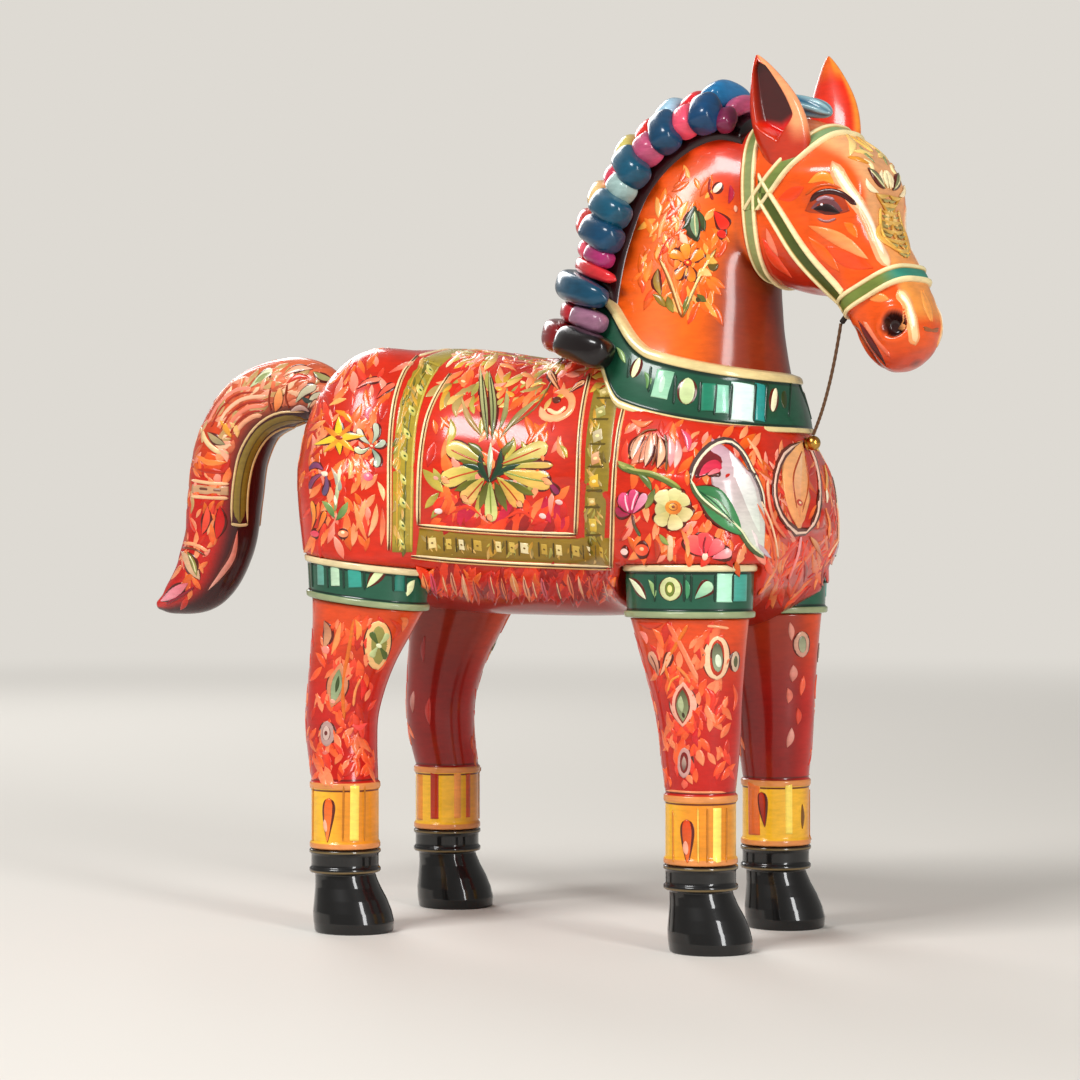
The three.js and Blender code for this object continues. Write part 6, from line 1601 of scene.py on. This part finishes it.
# On the far cuffs, the bright yellow bar of the front one and the bright orange bar of the rear one are painted
# highlights.
far_front_leg = strokes("""
    dot 6 1 d8a488-c8907c 1318,270 1322,440; dot 4.2 2 8a9070-a8a888 1318,300 1322,410;
    leaf 2 1 e0907c 1240,210 1252,270 1250,330; leaf 2.8 1 d89080-c87060 1262,490 1266,545 1255,600;
    leaf 2.2 1 d8705c 1225,640 1240,690 1228,740; leaf 2.4 1 e0a090-c87868 1252,900 1248,960 1222,1030;
    leaf 2.2 1 e85c3c 1330,560 1325,620 1310,690; leaf 2.2 1 d8442c 1290,770 1300,820 1290,880;
    bar 5 0 e0702c-d8601c 1000,1270 1004,1600; petal 3.6 1 8a1408-b82c10 1078,1550 1066,1440 1054,1320;
    bar 2.4 0 ffe060 1234,1275 1236,1595; leaf 1.8 1 7a4a08 1320,1400 1325,1480 1320,1560
""")
far_rear_leg = strokes("""
    leaf 2.6 1 c88a80-a85c50 778,660 765,730 772,800; leaf 2 1 a8302c 850,300 835,380 840,470;
    leaf 2.2 1 b8342c 880,700 868,790 880,880; bar 4.2 0 e08a2c 812,1205 812,1500;
    bar 3 0 a82408-b83010 911,1200 911,1495; bar 2.4 0 f49a48 1062,1200 1062,1490; bar 2 0 c8481c 1132,1200 1132,1485
""")
for end, drawn, leaves, far_side, view in (
    ("front", front_leg, front_leaves, far_front_leg, front_leg_view),
    ("rear", rear_leg, rear_leaves, far_rear_leg, rear_leg_view),
):
    rows = np.linspace(leg_bottom + 1, leg_top_height[end] - 0.5, 150)[:, None]
    angle = full_turn(120)[None]
    leg_form, far_form = form(leg_point(end, rows, angle)), form(leg_point(end, rows, -angle) * [1, -1, 1])
    middle = leg_form[..., 1].mean()
    behind = scattered(24, [(middle, 90), (middle, 48)], 7, 60, rosy, 2.2, 5.0, 85)
    strewn_both = [(leaves, view), (behind, from_rear)]
    laid(f"leg_painting_{end}", leg_form, [(drawn, view)], f"leg_{end}", "red_lacquer", True)
    laid(f"leg_leaves_{end}", leg_form, strewn_both, f"leg_{end}", "red_lacquer", True, every=2)
    laid(f"far_leg_painting_{end}", far_form, [(far_side, view)], f"leg_{end}_left", "red_lacquer", None)

# Tail. Leaves and arcs over the bend, an olive stripe along its side, a cream belt and a leaf near the tip, read in a
# 5.703 times enlargement from pixel (150, 350).

# The long pink stroke down the lower tail, ending near the tip, is a painted highlight.
stripe = [(900, 398), (760, 406), (650, 462), (565, 590), (524, 740), (512, 880), (512, 990)]
tail_strokes = [("line", 4.4, 0, "#8a7426", *stripe)] + strokes("""
    line 0.8 1 e2c48c 880,352 720,362 608,432 515,575 478,740 466,880 466,990;
    line 0.8 1 d8b070 900,438 760,448 672,502 600,620 566,760 556,880 556,995
""") + [("line", 0.6, 1, "#5c4a14", *stripe)] + strokes("""
    line 1 1 e2c48c 462,992 510,1000 558,996; petal 5 1 b8c490-e4e4c0 570,215 630,160 700,110;
    leaf 2.6 2 8f9a60 600,190 650,150 690,130; leaf 3.2 1 f08c64-f4b498 760,150 840,105 930,110;
    leaf 2.6 1 c83c20 780,190 850,150 910,160; leaf 3.2 1 8a8a4c-b4b478 930,125 980,155 1045,175;
    petal 4 1 b4b894-dcd8b8 830,300 880,240 950,205; leaf 1.8 2 34443c 866,268 896,290 930,288;
    petal 3 1 c8c8a8 900,330 930,270 990,250; leaf 4.2 1 e8742c-f4a868 715,350 732,290 742,215;
    line 0.8 2 8a2c10 690,215 680,290 690,350; line 0.8 2 8a2c10 785,195 775,270 795,335;
    leaf 2 1 c8a89c 800,350 860,330 910,350; line 1.7 1 e88a74 330,420 390,310 490,230 580,215;
    line 0.8 2 a8301c 350,440 410,330 500,255 590,240; line 1.5 1 f0b490 385,440 440,345 530,280 670,262;
    line 0.8 2 a8301c 405,455 460,365 545,305 670,290; line 1.6 1 e88064 430,470 485,385 560,330 665,318;
    line 0.8 2 a8301c 455,480 505,405 575,355 650,345; line 1.6 1 f0a880 480,480 530,420 590,380 640,372;
    leaf 2.6 2 dc9430 400,400 430,440 465,500; leaf 2.4 2 e8b46c 455,410 490,450 500,500;
    line 1.8 1 e8c890-d8b888 290,440 320,520 380,575 450,590; line 1.4 1 c8a070 330,400 300,470 300,530;
    leaf 3.2 1 b89a6c-8a8460 330,470 370,510 430,540; leaf 2.6 1 f4a888 390,560 430,600 440,640;
    leaf 8.8 0 e0561c-cc3a10 330,580 345,660 355,735; leaf 2.6 1 f08038 260,600 330,640 440,640;
    leaf 2.2 1 b82c10 270,680 340,690 430,700; line 1.2 1 ecb888 236,742 330,758 452,764;
    bar 3 0 c4946c 240,790 340,800 448,804; line 1.2 1 ecb888 232,834 330,842 448,846; line 1 2 6a3a28 285,790 330,794;
    line 1 2 8a5a44 362,798 405,800; leaf 4 1 f05840-e03820 330,890 325,960 300,1050;
    leaf 4.4 1 d00c04 400,890 400,980 380,1080; line 1.3 1 f0a070 190,1100 262,1112 330,1150;
    line 0.7 2 7a3414 186,1125 255,1136 318,1172; leaf 5.4 1 d8ac84 180,1150 225,1215 285,1310;
    leaf 3.2 2 74702c-98904c 215,1150 245,1205 270,1290; line 0.7 3 e4dca4 226,1168 250,1215 264,1270;
    leaf 4.6 1 d4606c-ec98a4 220,1330 140,1382 62,1432; line 0.9 2 8a1028 252,1352 175,1402 95,1448;
    leaf 3 1 e87864-f4ac98 500,1030 470,1180 405,1280 330,1370
""")
salmon = ("#e08868 #f0a888", "#d86a48 #e88c68", "#c85834 #dc7850", "#e8b088 #f4c8a0", "#a8482c #c8603c",
          "#c8a06c #b08850")
tail_leaves = strewn(
    (17, [(1000, 200), (820, 200), (640, 210), (470, 330), (370, 520)], 100, 100, salmon, 2.4, 95, 40),
    (18, [(350, 600), (340, 800), (300, 1050), (230, 1230), (120, 1400)], 90, 60, warm, 2.2, 95, 80),
)
outer_leaves = scattered(23, [(-4, 178), (-4, 112)], 6, 50, salmon + warm, 2.2, 5.5, 80)
tail_form = form(tail_point(*lattice(np.linspace(0, 0.985, 240), full_turn(140))))
laid("tail_painting", tail_form, [(tail_strokes, tail_view)], "tail", "tail_lacquer")
laid("tail_leaves", tail_form, [(tail_leaves, tail_view), (outer_leaves, from_rear)], "tail", "tail_lacquer", every=2)

# Face. The eye is painted on its carved ball: lids, a grey-lilac eyeball and a dark pupil, with painted shade in its
# socket, painted sheen above and below the pupil and a painted glint. The lips are painted. Painted highlights lie
# along the bridge of the nose, down the front of the muzzle, over the eye, on the cheekbone and on the jowl, with
# painted shade below the cheekbone and a dark line of painted shade behind the jowl. Read in a 5.058 times enlargement
# from pixel (640, 100).

face_paint_and_painted_light = strokes("""
    leaf 8 0 b03c10-9a3010 835,560 940,515 1060,560; leaf 5.6 1 7c4a50-5a3034 866,548 940,528 1026,562;
    leaf 3.6 2 1a0305 878,552 945,545 1012,572; line 1.1 3 b08894-8a6068 893,508 938,492 985,505;
    line 0.8 3 9a605c 900,600 945,614 992,600; dot 0.9 4 e8dce0 914,528 928,530;
    line 1.8 3 3a0c08 862,512 900,475 960,462 1030,480 1094,532; line 0.8 1 c8500e 838,480 890,440 960,428 1020,448;
    leaf 3.2 0 f08c28 850,420 930,385 985,430; leaf 2.8 0 ee6c10 1030,620 1070,650 1100,700;
    leaf 4 0 e23e0c 700,500 760,480 830,440; leaf 4 0 ee7834-ffa060 850,635 1000,702 1156,806;
    leaf 5 0 e8460a 940,740 1040,800 1180,850; leaf 3.4 0 ea5a10 850,690 930,780 1010,870;
    line 4.6 0 f2a070 972,310 1015,400 1060,470 1115,540 1160,620 1190,700 1225,780 1262,850;
    line 3.4 1 f9cca0 976,320 1018,400 1064,470 1118,540 1163,620 1193,700 1228,780 1262,850;
    line 1.8 2 ffecd6 985,340 1024,405 1070,472 1124,542 1168,622 1198,702 1232,782;
    line 4.2 0 f2a060 1305,960 1345,1015 1372,1090 1385,1165 1392,1240;
    line 3 1 fbd09a 1310,965 1348,1018 1374,1090 1386,1160 1392,1225;
    line 1.6 2 fff0d4 1320,985 1352,1030 1374,1090 1384,1150; leaf 3.6 0 f09a48 1420,960 1450,1040 1470,1120;
    leaf 2.8 0 f28a40 1160,1010 1210,1000 1262,1010; leaf 2.6 0 6c0808-2c0404 1105,1115 1160,1215 1244,1342;
    line 1.4 0 f08a64-d05030 1132,1120 1192,1212 1266,1300; line 0.8 1 9a5428 1436,1160 1470,1166 1508,1156;
    leaf 4.4 0 e8340f-f0502c 620,700 680,810 770,900; leaf 2.6 1 f07c5c 640,650 660,720 700,790;
    line 1.2 1 5a0c0a 590,640 580,740 600,850; leaf 2.6 2 d8a04c-f4d890 1035,165 1075,215 1062,285;
    leaf 2.4 2 d8962c-f4d070 1100,190 1140,225 1175,262; leaf 2.2 2 eccc78 1080,260 1130,262 1180,285;
    leaf 2 2 d48828 1050,290 1110,300 1160,325; leaf 2 2 f4dca0 1130,300 1170,330 1180,370;
    leaf 1.8 1 8a8c58 1190,250 1230,290 1250,330; leaf 1.8 1 f6e0b4 1250,360 1275,400 1278,450
""")
filigree = strokes("""
    leaf 3 2 5c6440-8a8c60 1150,345 1190,385 1235,450; line 0.6 3 e8dca8 1160,360 1195,400 1228,440;
    leaf 2.2 2 f0e0b0 1240,360 1260,400 1262,450; leaf 2 2 f6e2b8 1140,400 1160,440 1200,470;
    line 1.1 2 e8b44c 1300,560 1320,640 1345,740 1352,800; line 0.9 2 d09434 1190,470 1240,560 1280,660 1310,780;
    leaf 2.4 2 f8d890-e8b050 1262,560 1285,610 1300,660; leaf 2.2 2 e8a848 1320,640 1345,700 1360,780;
    leaf 1.8 2 9a7c3c 1295,620 1318,650 1318,690
""")
for x, y in ((1215, 490), (1238, 535), (1258, 580), (1275, 628), (1290, 676), (1304, 724), (1318, 770)):
    filigree += [("leaf", 1.5, 3, "#ecc26a #d09a38", (x - 24, y - 14), (x + 6, y), (x + 40, y - 8)),
                 ("leaf", 1.1, 2, "#a89a5c", (x + 8, y + 14), (x + 26, y + 22), (x + 44, y + 16))]
head_form = form(head_grid)
laid("face_painting", head_form, [(face_paint_and_painted_light, face_view)], "head", "orange_lacquer")
laid("gilt_filigree", head_form, [(filigree, face_view)], "face_relief", "gilt_paste", lift=0.25)
